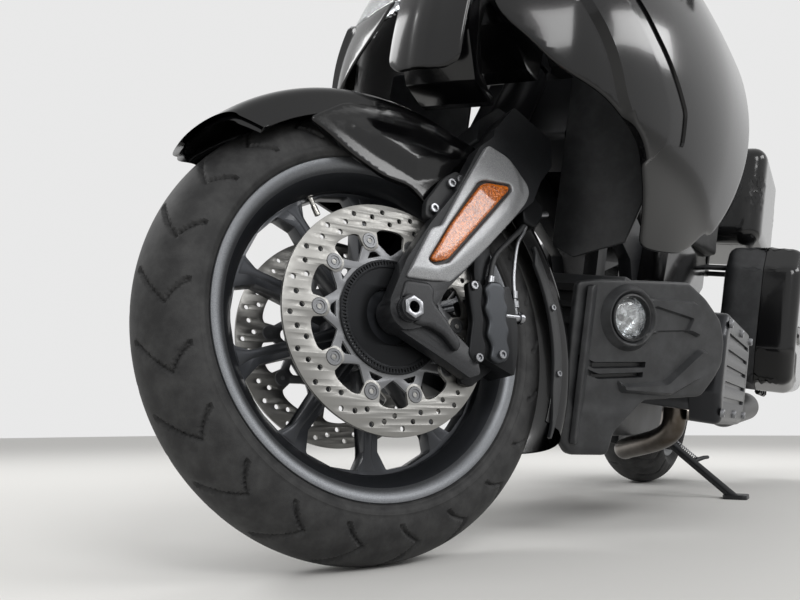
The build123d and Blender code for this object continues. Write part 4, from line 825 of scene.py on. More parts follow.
# Wavy tool marks catch the light in fine bands
bar_grey, tree, shader, place = finish("machined_grey_aluminium", "#3d3f42", Metallic=0.85, Roughness=0.4)
tool_marks = add(tree, "TexWave", Vector=place, Scale=260.0, Distortion=2.0, Detail=2.0)
mark_bump = add(tree, "Bump", Height=tool_marks.outputs["Fac"], Strength=0.12, Distance=0.0002)
tree.links.new(mark_bump.outputs["Normal"], shader.inputs["Normal"])

rounded("front_caliper_castings", "front_calipers", "fork", 2.5, anodised_black)
rounded("rear_caliper_casting", "rear_caliper", "root", 2.5, anodised_black)
for s, word in ((-1, "left"), (1, "right")):
    panel(f"caliper_bar_{word}", [soft(CALIPER_BAR, 5)], 4.0, upright(s, 118, 108, 3.5), on_fork, "fork",
          bar_grey, 3.5)
    panel(f"caliper_plate_{word}", [soft(CALIPER_PLATE, 5)], 4.0, upright(s, 114, 104, 3.0), on_fork, "fork",
          anodised_black, 3.0)
    cap_screws(f"caliper_screws_{word}", [(118, s * 113, 368), (116, s * 113, 264), (155, s * 117, 270)],
               (0, s, 0), 6.5, on_fork, "fork", zinc_steel)
    PIPE = [(214, s * 104, 332), (203, s * 104, 336), (203, s * 104, 366), (208, s * 102, 401),
            (224, s * 99, 450), (243, s * 97, 476), (252, s * 97, 492)]
    TOP_PIPE = [(158, s * 100, 374), (163, s * 100, 392), (176, s * 100, 424), (206, s * 98, 452),
                (232, s * 97, 474), (246, s * 97, 488)]
    for name, line, r in (("brake_pipe", PIPE, 3.2), ("bleed_pipe", TOP_PIPE, 4.2)):
        path = smooth_line(line, 60)
        points, faces = along(path, np.full(60, r), 12)
        new_piece(f"{name}_{word}", on_fork(points), faces, zinc_steel if r < 4 else moulded_abs, "fork")
    sleeves = [((203, s * 104, 346), (203, s * 104, 356), 6.0),
               ((203, s * 104, 360), (204, s * 104, 372), 5.2),
               ((160, s * 100, 376), (164, s * 100, 390), 7.0),
               ((158, s * 100, 368), (159, s * 100, 376), 9.0),
               ((176, s * 104, 331), (216, s * 104, 331), 6.5),
               ((206, s * 104, 331), (212, s * 104, 331), 9.0)]
    ends = [along([a, np.add(a, 0.02 * np.subtract(b, a)), np.add(a, 0.98 * np.subtract(b, a)), b],
                  [0.85 * r, r, r, 0.85 * r], 12) for a, b, r in sleeves]
    points = np.concatenate([p for p, _ in ends])
    faces = [tuple(np.add(f, 48 * k)) for k, (_, fs) in enumerate(ends) for f in fs]
    new_piece(f"pipe_fittings_{word}", on_fork(points), faces, zinc_steel, "fork")
    BLOCK = [(238, 488), (262, 482), (278, 500), (286, 524), (268, 536), (246, 528), (236, 508)]
    panel(f"brake_block_{word}", [soft(BLOCK, 6)], 6.0, upright(s, 106, 88, 4.0), on_fork, "fork",
          anodised_black, 4.0)
    points, faces = along([(262, s * 98, 505), (280, s * 98, 510), (296, s * 98, 514), (298, s * 98, 514.5)],
                          [4, 5, 5, 3.5], 12)
    new_piece(f"brake_union_{word}", on_fork(points), faces, zinc_steel, "fork")

# Front fender: injection-moulded ABS in gloss black. Its crowned arch ends in a lip, each side
# panel has a raised facet that sweeps back to the fork, and a matt strip guards the tyre's side.
def fender_arch(count_a, count_v):
    """The arch as one closed grid. The section is a crown that drops by the power 2.4 of the way
    across, with a wall below; a second, inner section 3.5 mm inside closes it."""
    across_way = np.concatenate([np.linspace(-1, 1, count_v), np.linspace(1, -1, count_v)])
    inner = np.repeat([0.0, 1.0], count_v)
    share = np.clip(np.abs(across_way) / 0.8, 0, 1)
    wall = np.clip((np.abs(across_way) - 0.8) / 0.2, 0, 1)
    y = np.sign(across_way) * (77 * np.sin(share * pi / 2) ** 0.9 - 3.5 * inner + 1.5 * wall)
    r = 352 - 26 * share ** 2.4 - 28 * wall - 3.5 * inner * (1 - wall)
    first = -30 + 3 * share ** 2
    last = 140 - 9 * (np.abs(y) / 77) ** 3 - 3 * wall
    t = np.linspace(0, 1, count_a)[:, None]
    angle = np.radians(first + (last - first) * t)
    lip = 2.2 * np.exp(-((1 - t) / 0.012) ** 2) * (1 - 2 * inner) + 0 * angle
    return wheel_points(angle, r + lip, y + 0 * angle, FRONT_R)


def facet_lift(p):
    """The side panel's facet: it rises 9 mm over 34 mm from the facet's outline, with a long
    hollow above it."""
    return 9.0 * ramp(inside(p, FACET_LINE) + 6, 34) - 2.5 * ramp(inside(p, HOLLOW_LINE), 18)


PANEL_LINE = [(-118, 590), (-92, 578), (-50, 550), (0, 527), (46, 520), (70, 500), (82, 482), (100, 480),
              (114, 500), (122, 538), (190, 560), (224, 582), (190, 608), (110, 634), (30, 644), (-60, 630)]
FACET_LINE = [(-80, 596), (-10, 560), (54, 536), (100, 548), (188, 584), (140, 602), (60, 612), (-24, 612)]
HOLLOW_LINE = [(-60, 618), (-20, 618), (60, 620), (130, 612), (110, 626), (30, 636)]
STRIP_FROM, STRIP_TO = 27.0, -31.0

for s, word in ((-1, "left"), (1, "right")):
    panel(f"fender_side_{word}", [soft(PANEL_LINE, 12)], 5.0, upright(s, 79.5, 71.5, 3.0, facet_lift),
          on_fork, "fork", gloss_black, 3.0, [(soft(FACET_LINE, 8), 26)], 60)
arch = fender_arch(110, 41)
fender = new_piece("front_fender_arch", on_fork(arch), grid_faces(arch.shape[0], arch.shape[1], False, True),
                   gloss_black, "fork")
wall = fender.modifiers.new("close", "BEVEL")
wall.width, wall.segments, wall.limit_method, wall.angle_limit = 0.0006, 2, "ANGLE", radians(50)
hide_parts("front_fender")
for s, word in ((-1, "left"), (1, "right")):
    t = np.linspace(0, 1, 60)[:, None]
    angle = np.radians(STRIP_FROM + (STRIP_TO - STRIP_FROM) * t)
    taper = 1 - 0.75 * ramp(t - 0.72, 0.28)
    section = np.array([(0, 0), (2.2, 1.2), (3.0, 3), (3.0, 15), (2.2, 17.5), (0, 19), (-3, 19), (-3, 0)])
    y = s * (80 + section[:, 0])[None, :] + 0 * angle
    r = 314 - section[:, 1][None, :] * taper * np.clip(12 * t, 0.3, 1)
    strip = wheel_points(angle, r, y, FRONT_R)
    new_piece(f"fender_guard_{word}", on_fork(strip), [*grid_faces(60, 8, False, True).tolist(),
              list(range(8)), list(range(59 * 8, 60 * 8))], moulded_abs, "fork")
    spots = [(r * cos(radians(a)), s * 83, FRONT_R + r * sin(radians(a))) for a, r in ((8, 304), (-12, 304))]
    cap_screws(f"guard_screws_{word}", spots, (0, s, 0), 5.0, on_fork, "fork", zinc_steel)


# Lower cowls: slanted shields of grained black ABS that guide air to the radiators and hold the
# fog lamps. Each has a ring round its lamp, a raised bar, a swept ridge, a low wing and two
# louvres, and a flat cheek panel stands upright on its inner side.
SHIELD_LINE = [(-34, 190), (-14, 168), (58, 174), (66, 214), (122, 272), (251, 292), (300, 352), (301, 394),
               (286, 432), (243, 464), (196, 486), (0, 458), (-34, 448)]
LAMP_AT, LAMP_R = (71.0, 404.0), 33.5
BAR_LINE = [(60, 446), (116, 446), (214, 455), (248, 432), (232, 392), (205, 398), (131, 386), (60, 352)]
BAR_HOLLOW = [(98, 384), (196, 392), (210, 424), (120, 432), (112, 424)]
RIDGE_LINE = [(60, 300), (75, 294), (160, 308), (234, 374), (252, 374), (270, 350), (238, 320), (172, 284),
              (70, 278)]
WING_LINE = [(-34, 260), (64, 262), (150, 300), (300, 372), (300, 300), (60, 160), (-34, 160)]
LOUVRE_LINES = [[(-18, 330), (14, 322), (117, 336), (117, 326), (14, 311), (-18, 320)],
                [(-12, 312), (25, 304), (114, 318), (114, 309), (25, 295), (-12, 303)]]
BAR_LINE, BAR_HOLLOW, RIDGE_LINE = soft(BAR_LINE, 9), soft(BAR_HOLLOW, 4), soft(RIDGE_LINE, 6)
SHIELD_CREASES = [(BAR_LINE, 5), (BAR_HOLLOW, 3), (RIDGE_LINE, 6), (circle(*LAMP_AT, 56, 60), 9),
                  (circle(*LAMP_AT, 45, 60), 6)] + [(np.array(line, float), 2) for line in LOUVRE_LINES]
SHIELD_RUN = np.array((240, 170, 0)) / np.hypot(240, 170)
SHIELD_FACE = np.array((170, -240, 0)) / np.hypot(240, 170)


def shield_lift(p):
    """The relief on the shield in mm: the ring round the lamp, the raised bar with its hollow,
    the swept ridge, the wing below it, and the louvres cut down 12 mm."""
    lamp = np.hypot(p[:, 0] - LAMP_AT[0], p[:, 1] - LAMP_AT[1])
    ring = 13 * ramp(56 - lamp, 9) - 7 * ramp(45 - lamp, 6)
    bar = 8 * ramp(inside(p, BAR_LINE), 5) - 5 * ramp(inside(p, BAR_HOLLOW), 3)
    ridge = 11 * ramp(inside(p, RIDGE_LINE), 6)
    wing = 4 * ramp(inside(p, WING_LINE), 26)
    cuts = sum(ramp(inside(p, line), 2.0) for line in LOUVRE_LINES)
    bow = 10 * (1 - ((p[:, 0] - 120) / 190) ** 2)
    return np.maximum(ring, bar) + ridge + wing - 12 * cuts + bow - 6


def shield_shape(s):
    """The shield's own plane, run back and outwards from a corner beside the wheel."""
    def shape(u, v, distance):
        run, face = SHIELD_RUN * (1, s, 1), SHIELD_FACE * (1, s, 1) * -1
        base = np.array((320, s * 200, 0)) + u[:, None] * run + v[:, None] * (0, 0, 1)
        out = face * (1 if face[1] * s > 0 else -1)
        lift = shield_lift(np.stack([u, v], -1)) - roll(distance, 5)
        return base + lift[:, None] * out, base - 14 * out
    return shape


cowl_abs, tree, shader, place = finish("moulded_grey_black_abs", "#191a1b", Roughness=0.46)
# The same grained moulding, a little dusty: paler where road dust has settled, over some 40 mm
grain = add(tree, "TexVoronoi", Vector=place, Scale=950.0, feature="SMOOTH_F1")
grain_bump = add(tree, "Bump", Height=grain.outputs["Distance"], Strength=0.28, Distance=0.0004)
tree.links.new(grain_bump.outputs["Normal"], shader.inputs["Normal"])
settled = add(tree, "TexNoise", Vector=place, Scale=24.0, Detail=6.0, Roughness=0.65)
dusty = add(tree, "ValToRGB", Fac=settled.outputs["Fac"])
dusty.color_ramp.elements[0].position, dusty.color_ramp.elements[0].color = 0.42, colour("#1e1f21")
dusty.color_ramp.elements[1].position, dusty.color_ramp.elements[1].color = 0.8, colour("#38393b")
tree.links.new(dusty.outputs["Color"], shader.inputs["Base Color"])

# Clear, with low cells about 7 mm wide that break up what lies behind it
clear_lens, tree, shader, place = finish("clear_polycarbonate", "#f4f6f7", Roughness=0.04, IOR=1.586,
                                         Transmission_Weight=0.9)
ribs = add(tree, "TexVoronoi", Vector=place, Scale=150.0)
rib_bump = add(tree, "Bump", Height=ribs.outputs["Distance"], Strength=0.35, Distance=0.0012)
tree.links.new(rib_bump.outputs["Normal"], shader.inputs["Normal"])

# Facets under the metal catch the light as a mosaic of bright and dark cells, painted into the
# metal's colour as reflections from dark grey to near white
reflector_chrome, tree, shader, place = finish("vacuum_metallised_reflector", "#a9abad", Metallic=1.0,
                                               Roughness=0.12)
facets = add(tree, "TexVoronoi", Vector=place, Scale=120.0, feature="F1")
facet_painted_reflections = add(tree, "ValToRGB", Fac=facets.outputs["Color"])
facet_painted_reflections.color_ramp.elements[0].position, facet_painted_reflections.color_ramp.elements[0].color = 0.1, colour("#4a4c4e")
facet_painted_reflections.color_ramp.elements[1].position, facet_painted_reflections.color_ramp.elements[1].color = 0.8, colour("#e6e8ea")
tree.links.new(facet_painted_reflections.outputs["Color"], shader.inputs["Base Color"])
facet_bump = add(tree, "Bump", Height=facets.outputs["Distance"], Strength=0.7, Distance=0.002)
tree.links.new(facet_bump.outputs["Normal"], shader.inputs["Normal"])

for s, word in ((-1, "left"), (1, "right")):
    lamp_hole = circle(*LAMP_AT, LAMP_R + 1.5, 48)
    shield = panel(f"lower_cowl_shield_{word}", [soft(SHIELD_LINE, 9), lamp_hole], 3.6, shield_shape(s),
                   on_bike, "root", cowl_abs, 4.0, SHIELD_CREASES, 40)
    if s < 0:
        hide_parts("lower_cowl")
    CHEEK_LINE = [(300, 185), (425, 200), (470, 240), (470, 470), (300, 445)]
    panel(f"lower_cowl_cheek_{word}", [soft(CHEEK_LINE, 9)], 8.0, upright(s, 202, 193, 2.5), on_bike, "root",
          cowl_abs, 2.5)
    out = SHIELD_FACE * (1, s, 1) * -1
    out = out * (1 if out[1] * s > 0 else -1)
    middle = np.array((320, s * 200, 0)) + LAMP_AT[0] * SHIELD_RUN * (1, s, 1) + (0, 0, LAMP_AT[1])
    bowl = [(-16, 6), (-15, 18), (-8, 28), (3, LAMP_R - 0.6), (6, LAMP_R), (6, LAMP_R + 1), (-10, LAMP_R),
            (-18, 20), (-19, 6)]
    glass = [(9.5, 0.5), (9.2, 12), (7.6, 24), (4, 31), (1, LAMP_R - 0.8), (-1, LAMP_R - 0.8), (2, 30),
             (5.6, 23), (7.2, 12), (7.5, 0.5)]
    bezel = [(4, LAMP_R + 1.2), (12, LAMP_R + 1.2), (15, LAMP_R + 3), (14, LAMP_R + 6), (8, LAMP_R + 8),
             (4, LAMP_R + 8)]
    a = np.linspace(0, 2 * pi, 72, endpoint=False)[:, None]
    first = SHIELD_RUN * (1, s, 1)
    for name, profile, material in (("bowl", bowl, reflector_chrome), ("glass", glass, clear_lens),
                                    ("ring", bezel, moulded_abs)):
        h, r = np.array(profile, float).T
        ring = middle + h[None, :, None] * out + r[None, :, None] * (
            np.cos(a)[..., None] * first + np.sin(a)[..., None] * np.array((0, 0, 1)))
        lamp = new_piece(f"fog_lamp_{name}_{word}", on_bike(ring), grid_faces(72, len(profile), True, True),
                         material, "root")
        if name == "bowl" and s < 0:
            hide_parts("fog_lamps")

# Radiators: aluminium cores with a black coat. Their fins are a pattern of the material, a raised
# wave, with painted shade darkening the bands between them and the raised crests painted lighter.
fin_black, tree, shader, place = finish("black_coated_radiator_core", "#161718", Metallic=0.5, Roughness=0.5)
fins = add(tree, "TexWave", Vector=place, Scale=150.0, bands_direction="Y", Distortion=0.3)
fin_bump = add(tree, "Bump", Height=fins.outputs["Fac"], Strength=0.8, Distance=0.0012)
tree.links.new(fin_bump.outputs["Normal"], shader.inputs["Normal"])
fin_painted_shade = add(tree, "ValToRGB", Fac=fins.outputs["Fac"])
fin_painted_shade.color_ramp.elements[0].color = colour("#0c0c0d")
fin_painted_shade.color_ramp.elements[1].color = colour("#2b2c2d")
tree.links.new(fin_painted_shade.outputs["Color"], shader.inputs["Base Color"])
rounded("radiator_cores", "radiators", "root", 1.0, fin_black)

# Engine: a flat six in one block. The block is painted dark grey over its casting, and the ribbed
# head covers are magnesium, painted black with a satin coat
# The cast skin's bumps are about 2.4 mm wide, and a haze of oil darkens the paint in patches of 7 cm
block_paint, tree, shader, place = finish("painted_engine_casting", "#3a3b3d", Metallic=0.5, Roughness=0.5)
cast_skin = add(tree, "TexNoise", Vector=place, Scale=420.0, Detail=4.0)
skin_bump = add(tree, "Bump", Height=cast_skin.outputs["Fac"], Strength=0.35, Distance=0.0007)
tree.links.new(skin_bump.outputs["Normal"], shader.inputs["Normal"])
oil_haze = add(tree, "TexNoise", Vector=place, Scale=14.0, Detail=5.0)
haze = add(tree, "ValToRGB", Fac=oil_haze.outputs["Fac"])
haze.color_ramp.elements[0].position, haze.color_ramp.elements[0].color = 0.35, colour("#2c2d2f")
haze.color_ramp.elements[1].position, haze.color_ramp.elements[1].color = 0.75, colour("#48494c")
tree.links.new(haze.outputs["Color"], shader.inputs["Base Color"])

# The satin coat has fine bumps, and its gloss varies over about a millimetre
cover_paint, tree, shader, place = finish("satin_black_magnesium", "#2b2c2f", Metallic=0.7, Roughness=0.36,
                                          Coat_Weight=0.2, Coat_Roughness=0.25)
fine = add(tree, "TexNoise", Vector=place, Scale=900.0, Detail=2.0)
fine_bump = add(tree, "Bump", Height=fine.outputs["Fac"], Strength=0.18, Distance=0.0004)
tree.links.new(fine_bump.outputs["Normal"], shader.inputs["Normal"])
fine_rough = add(tree, "MapRange", Value=fine.outputs["Fac"], To_Min=0.3,
                 To_Max=0.44)
tree.links.new(fine_rough.outputs["Result"], shader.inputs["Roughness"])

rounded("engine_casting", "engine_block", "root", 4.0, block_paint)
rounded("head_covers", "cylinder_covers", "root", 2.0, cover_paint)
for s, word in ((-1, "left"), (1, "right")):
    places = [(x, s * 369.5, z) for x in (612, 785, 958) for z in (268, 434)]
    cap_screws(f"head_cover_screws_{word}", places, (0, s, 0), 8.0, on_bike, "root", zinc_steel)


# Fairing: two side shells and a nose, moulded in ABS 4 mm thick and painted gloss black. A raised
# fin sweeps down each side beside an air slot, and the shells meet the nose at a fine joint.
COWL_PLAN = np.array([  # x, y of the outer line at three heights, from the nose back
    [(100, 62), (118, 112), (150, 160), (230, 207), (350, 250), (480, 290), (800, 330)],
    [(26, 62), (52, 125), (98, 200), (180, 262), (320, 318), (480, 350), (800, 372)],
    [(150, 62), (185, 110), (230, 160), (300, 205), (400, 240), (520, 262), (800, 290)]], float)
COWL_HEIGHTS = (480.0, 840.0, 1060.0)
COWL_SIDE = [(30, 860), (30, 780), (66, 712), (128, 690), (205, 650), (262, 585), (322, 515), (375, 517),
             (440, 528), (482, 578), (512, 574), (552, 640), (612, 760), (668, 900), (700, 960), (640, 985),
             (480, 1030), (330, 1030), (190, 1000), (95, 945)]
FIN_LINE = [(70, 880), (96, 800), (143, 694), (215, 612), (240, 624), (262, 660), (248, 704), (176, 806),
            (130, 880)]
SLOT_LINE = [(270, 664), (256, 708), (184, 810), (140, 884), (164, 886), (214, 816), (296, 724), (308, 672)]
HEADLAMP = [(72, 828), (150, 826), (232, 836), (258, 866), (248, 902), (150, 888), (72, 866)]
NOSE_HALF, SKIN = 61.0, 4.0


def cowl_nodes(z):
    """The seven plan points at each height: a parabola through the three plans."""
    a, b, c = COWL_HEIGHTS
    z = np.asarray(z, float)[:, None, None]
    return (COWL_PLAN[0] * (z - b) * (z - c) / ((a - b) * (a - c)) + COWL_PLAN[1] * (z - a) * (z - c)
            / ((b - a) * (b - c)) + COWL_PLAN[2] * (z - a) * (z - b) / ((c - a) * (c - b)))


def between(nodes_x, nodes_y, x):
    """A cubic through each row's nodes, read at x: the slope at a node is that of the chord
    between its neighbours. Returns the value and the slope."""
    ends = nodes_x.shape[1] - 2
    k = np.clip((x[:, None] >= nodes_x).sum(1) - 1, 0, ends)
    row = np.arange(len(x))
    slope = np.gradient(nodes_y, axis=1) / np.gradient(nodes_x, axis=1)
    x0, x1, y0, y1 = nodes_x[row, k], nodes_x[row, k + 1], nodes_y[row, k], nodes_y[row, k + 1]
    m0, m1, h = slope[row, k], slope[row, k + 1], nodes_x[row, k + 1] - nodes_x[row, k]
    t = np.clip((x - x0) / h, 0, 1)
    value = (2 * t**3 - 3 * t**2 + 1) * y0 + (t**3 - 2 * t**2 + t) * h * m0 + (
        3 * t**2 - 2 * t**3) * y1 + (t**3 - t**2) * h * m1
    rate = ((6 * t**2 - 6 * t) * (y0 - y1) / h + (3 * t**2 - 4 * t + 1) * m0 + (3 * t**2 - 2 * t) * m1)
    return value, rate


def cowl_shape(s, lift, proud=0.0, wall=SKIN):
    """The shell at each (x, z), moved out along its plan normal by its relief."""
    def shape(u, v, distance):
        nodes_here = cowl_nodes(v)
        y, rate = between(nodes_here[..., 0], nodes_here[..., 1], u)
        out = np.stack([-rate, s * np.ones_like(rate), 0 * rate], -1) / np.hypot(1, rate)[:, None]
        base = np.stack([u, s * y, v], -1)
        rise = proud + (lift(np.stack([u, v], -1)) if lift else 0) - roll(distance, 3.0)
        return base + rise[:, None] * out, base - wall * out
    return shape


def cowl_lift(p):
    """The fin stands 10 mm proud and the slot beside it is sunk 13 mm."""
    return 10 * ramp(inside(p, FIN_LINE), 9) - 13 * ramp(inside(p, SLOT_LINE), 5)


FIN_LINE, SLOT_LINE = soft(FIN_LINE, 16), soft(SLOT_LINE, 6)
side_line = dense(soft(COWL_SIDE, 22), 8)
front_x = cowl_nodes(side_line[:, 1])[:, 0, 0] + 0.5
side_line[:, 0] = np.maximum(side_line[:, 0], front_x)
lamp_line = dense(soft(HEADLAMP, 8), 6)
lamp_nodes = cowl_nodes(lamp_line[:, 1])
lamp_line[:, 0] = between(lamp_nodes[..., 1], lamp_nodes[..., 0], lamp_line[:, 0])[0]
lamp_middle = lamp_line.mean(0)
lens_line = lamp_line + (lamp_middle - lamp_line) * 0.015
for s, word in ((-1, "left"), (1, "right")):
    cowl = panel(f"fairing_shell_{word}", [side_line, lamp_line], 7.0, cowl_shape(s, cowl_lift), on_bike,
                 "root", gloss_black, 3.0, [(FIN_LINE, 9), (SLOT_LINE, 5)], 40)
    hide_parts(f"side_cowl_{word}")


# Headlamps: a clear polycarbonate lens over a metallised tray of five cells, each a small dome
# in a frame
def tray_lift(p):
    """A stepped tray: five cells side by side, each a small dome in a frame."""
    along_lamp = (p[:, 0] - lamp_line[:, 0].min()) / np.ptp(lamp_line[:, 0])
    cell = np.abs((along_lamp * 5) % 1 - 0.5)
    level = np.abs(p[:, 1] - 858) / 26
    return -20 + 9 * np.clip(1 - 4 * cell**2 - level**2, 0, 1) + 6 * ramp(0.06 - np.abs(cell - 0.5), 0.05)


for s, word in ((-1, "left"), (1, "right")):
    lens = panel(f"headlamp_lens_{word}", [lens_line], 6.0, cowl_shape(s, None, -0.5, 3.0), on_bike, "root",
                 clear_lens, 2.0)
    if s < 0:
        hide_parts("headlamps")
    tray_line = lamp_middle + (lamp_line - lamp_middle) * 1.04
    panel(f"headlamp_tray_{word}", [tray_line], 4.0, cowl_shape(s, tray_lift, 0.0, 26.0), on_bike, "root",
          reflector_chrome, 1.0, (), 60)

# Nose: the shells' own curve carried round the front, with a low raised band down its middle,
# over the front cowl's solid with rounded edges
NOSE_LINE = [(-NOSE_HALF, 716), (-40, 700), (40, 700), (NOSE_HALF, 716), (NOSE_HALF, 1020), (40, 1032),
             (-40, 1032), (-NOSE_HALF, 1020)]


def nose_shape(u, v, distance):
    """Between the shells' front edges the nose bulges by a parabola that meets their slope."""
    front = cowl_nodes(v)[:, 0]
    x = front[:, 0] - 12.7 * (1 - (u / 62) ** 2) + roll(distance, 3.0) - 2.0 * ramp(16 - np.abs(u), 4)
    return np.stack([x, u, v], -1), np.stack([front[:, 0] + 5 - 12.7 * (1 - (u / 62) ** 2), u, v], -1)


panel("fairing_nose", [soft(NOSE_LINE, 10)], 7.0, nose_shape, on_bike, "root", gloss_black, 3.0)
rounded("fairing_chin", "front_cowl", "root", 4.0, gloss_black)


# Screen, dash, mirrors, inner cowls and frame: a polycarbonate sheet 4 mm thick, a dash and inner
# cowls of grained ABS, mirror shells of gloss ABS on short stems, each with a silvered glass, and
# a frame painted black
# A faint haze varies the sheet's gloss over some 17 mm
screen_sheet, tree, shader, place = finish("screen_polycarbonate", "#f2f6f8", Roughness=0.03, IOR=1.58,
                                           Alpha=0.28)
screen_haze = add(tree, "TexNoise", Vector=place, Scale=60.0, Detail=5.0)
haze_rough = add(tree, "MapRange", Value=screen_haze.outputs["Fac"], To_Min=0.02, To_Max=0.06)
tree.links.new(haze_rough.outputs["Result"], shader.inputs["Roughness"])

# Dust dulls the silvered glass in spots of about 3 mm
mirror_glass, tree, shader, place = finish("silvered_glass", "#c9ccce", Metallic=1.0, Roughness=0.04)
dust = add(tree, "TexNoise", Vector=place, Scale=350.0, Detail=6.0)
dust_rough = add(tree, "MapRange", Value=dust.outputs["Fac"], From_Min=0.5, To_Min=0.03, To_Max=0.12)
tree.links.new(dust_rough.outputs["Result"], shader.inputs["Roughness"])

rounded("windscreen_sheet", "windscreen", "root", 1.0, screen_sheet)
rounded("dash_moulding", "dash", "root", 4.0, moulded_abs)
rounded("inner_cowl_mouldings", "inner_cowls", "root", 1.5, cowl_abs)
rounded("chassis", "frame", "root", 1.5, leg_black)


def moulded(name, outline, depth, radius, wall, ways, body, material, step=8.0, lift=None, holes=(),
            creases=(), angle=35):
    """A hollow moulded cover: a straight skirt rises from its outline (u, v), rolls over with a
    radius and closes at the height depth. The skin is laid out flat round the outline first, so
    a point's distance from the flat edge is its length up the skirt, over the arc and inwards."""
    skirt = depth - radius
    reach = skirt + radius * (pi / 2 - 1)
    even = dense(soft(outline, 6), 6.0)
    flat = beside(even, reach)
    if inside(flat, even).mean() > 0:
        flat = beside(even, -reach)

    def shape(u, v, distance):
        p = np.stack([u, v], -1)
        d = inside(p, flat)
        turn = np.clip((d - skirt) / radius, 0, pi / 2)
        inset = np.where(d < skirt, 0,
                         radius * (1 - np.cos(turn))) + np.maximum(d - skirt - radius * pi / 2, 0)
        high = np.where(d < skirt, np.maximum(d, 0), skirt + radius * np.sin(turn))
        slope = np.stack([inside(p + (0.5, 0), flat) - inside(p - (0.5, 0), flat),
                          inside(p + (0, 0.5), flat) - inside(p - (0, 0.5), flat)], -1)
        slope /= np.maximum(np.linalg.norm(slope, axis=1), 1e-6)[:, None]
        placed = p + slope * np.maximum(reach + inset - d, 0)[:, None]
        top = (turn > pi / 2 - 0.01) * 1.0
        rise = lift(placed) * top if lift else 0
        outer = np.column_stack([placed, high + rise])
        inner = np.column_stack([placed + slope * (wall * np.cos(turn))[:, None], high - wall * np.sin(turn)])
        return outer, inner
    return panel(name, [flat] + list(holes), step, shape, ways, body, material, 2.0, creases, angle)


def mirror_ways(s):
    """A mirror shell opens backwards: u is y, v is z and its depth runs forwards along x."""
    return lambda p: on_bike(np.stack([448 - 0.9 * p[..., 2], s * p[..., 0], p[..., 1]], -1))


MIRROR_LINE = [(232, 1092), (262, 1082), (332, 1084), (346, 1102), (346, 1142), (330, 1158), (262, 1154),
               (236, 1136)]
for s, word in ((-1, "left"), (1, "right")):
    shell = moulded(f"mirror_shell_{word}", MIRROR_LINE, 66, 34, 3, mirror_ways(s), "root", gloss_black, 4.5)
    if s < 0:
        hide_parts("mirrors")
    stem_line = [(420, s * 250, 985), (421, s * 262, 1005), (424, s * 290, 1050), (426, s * 305, 1090)]
    points, faces = along(stem_line, [15, 12, 10, 14], 20)
    new_piece(f"mirror_stem_{word}", on_bike(points), faces, moulded_abs, "root")

    def glass_shape(u, v, distance, s=s):
        x = 443.0 + 0 * u
        return np.stack([x, s * u, v], -1), np.stack([x - 2.5, s * u, v], -1)
    centre = np.mean(MIRROR_LINE, 0)
    glass_line = soft(centre + (np.array(MIRROR_LINE) - centre) * 0.93, 8)
    panel(f"mirror_glass_{word}", [glass_line], 9.0, glass_shape, on_bike, "root", mirror_glass, 1.0)

# Top shelter: a gloss ABS cover over the tank with rounded edges, and the fuel lid, of grained ABS,
# let into it
rounded("top_shelter", "tank_cover", "root", 4.0, gloss_black)
rounded("fuel_lid_moulding", "fuel_lid", "fuel_lid", 1.5, moulded_abs)

# Seat and backrest: vinyl sewn over foam. The cloth run blows the cover out between its seams,
# and the points on the seams are held, so that the panels swell between them.
# Pores about 2 mm wide, coarser than real grain so that they show, and creases of some centimetres
seat_vinyl, tree, shader, place = finish("grained_vinyl", "#171718", Roughness=0.6)
pores = add(tree, "TexVoronoi", Vector=place, Scale=520.0)
creasing = add(tree, "TexNoise", Vector=place, Scale=38.0, Detail=6.0, Roughness=0.6)
height = add(tree, "Mix", Factor=0.35)
tree.links.new(pores.outputs["Distance"], height.inputs[2])
tree.links.new(creasing.outputs["Fac"], height.inputs[3])
vinyl_bump = add(tree, "Bump", Height=height.outputs[0], Strength=0.35, Distance=0.0012)
tree.links.new(vinyl_bump.outputs["Normal"], shader.inputs["Normal"])
SEAT_PAD, BACK_PAD = 9.0, 10.0


def off_bike(points):
    """The scene's metres back to millimetres on the leaning bike."""
    return (points - REAR_CENTRE) @ BIKE_WAYS * 1000 + (WHEELBASE, 0, REAR_R)


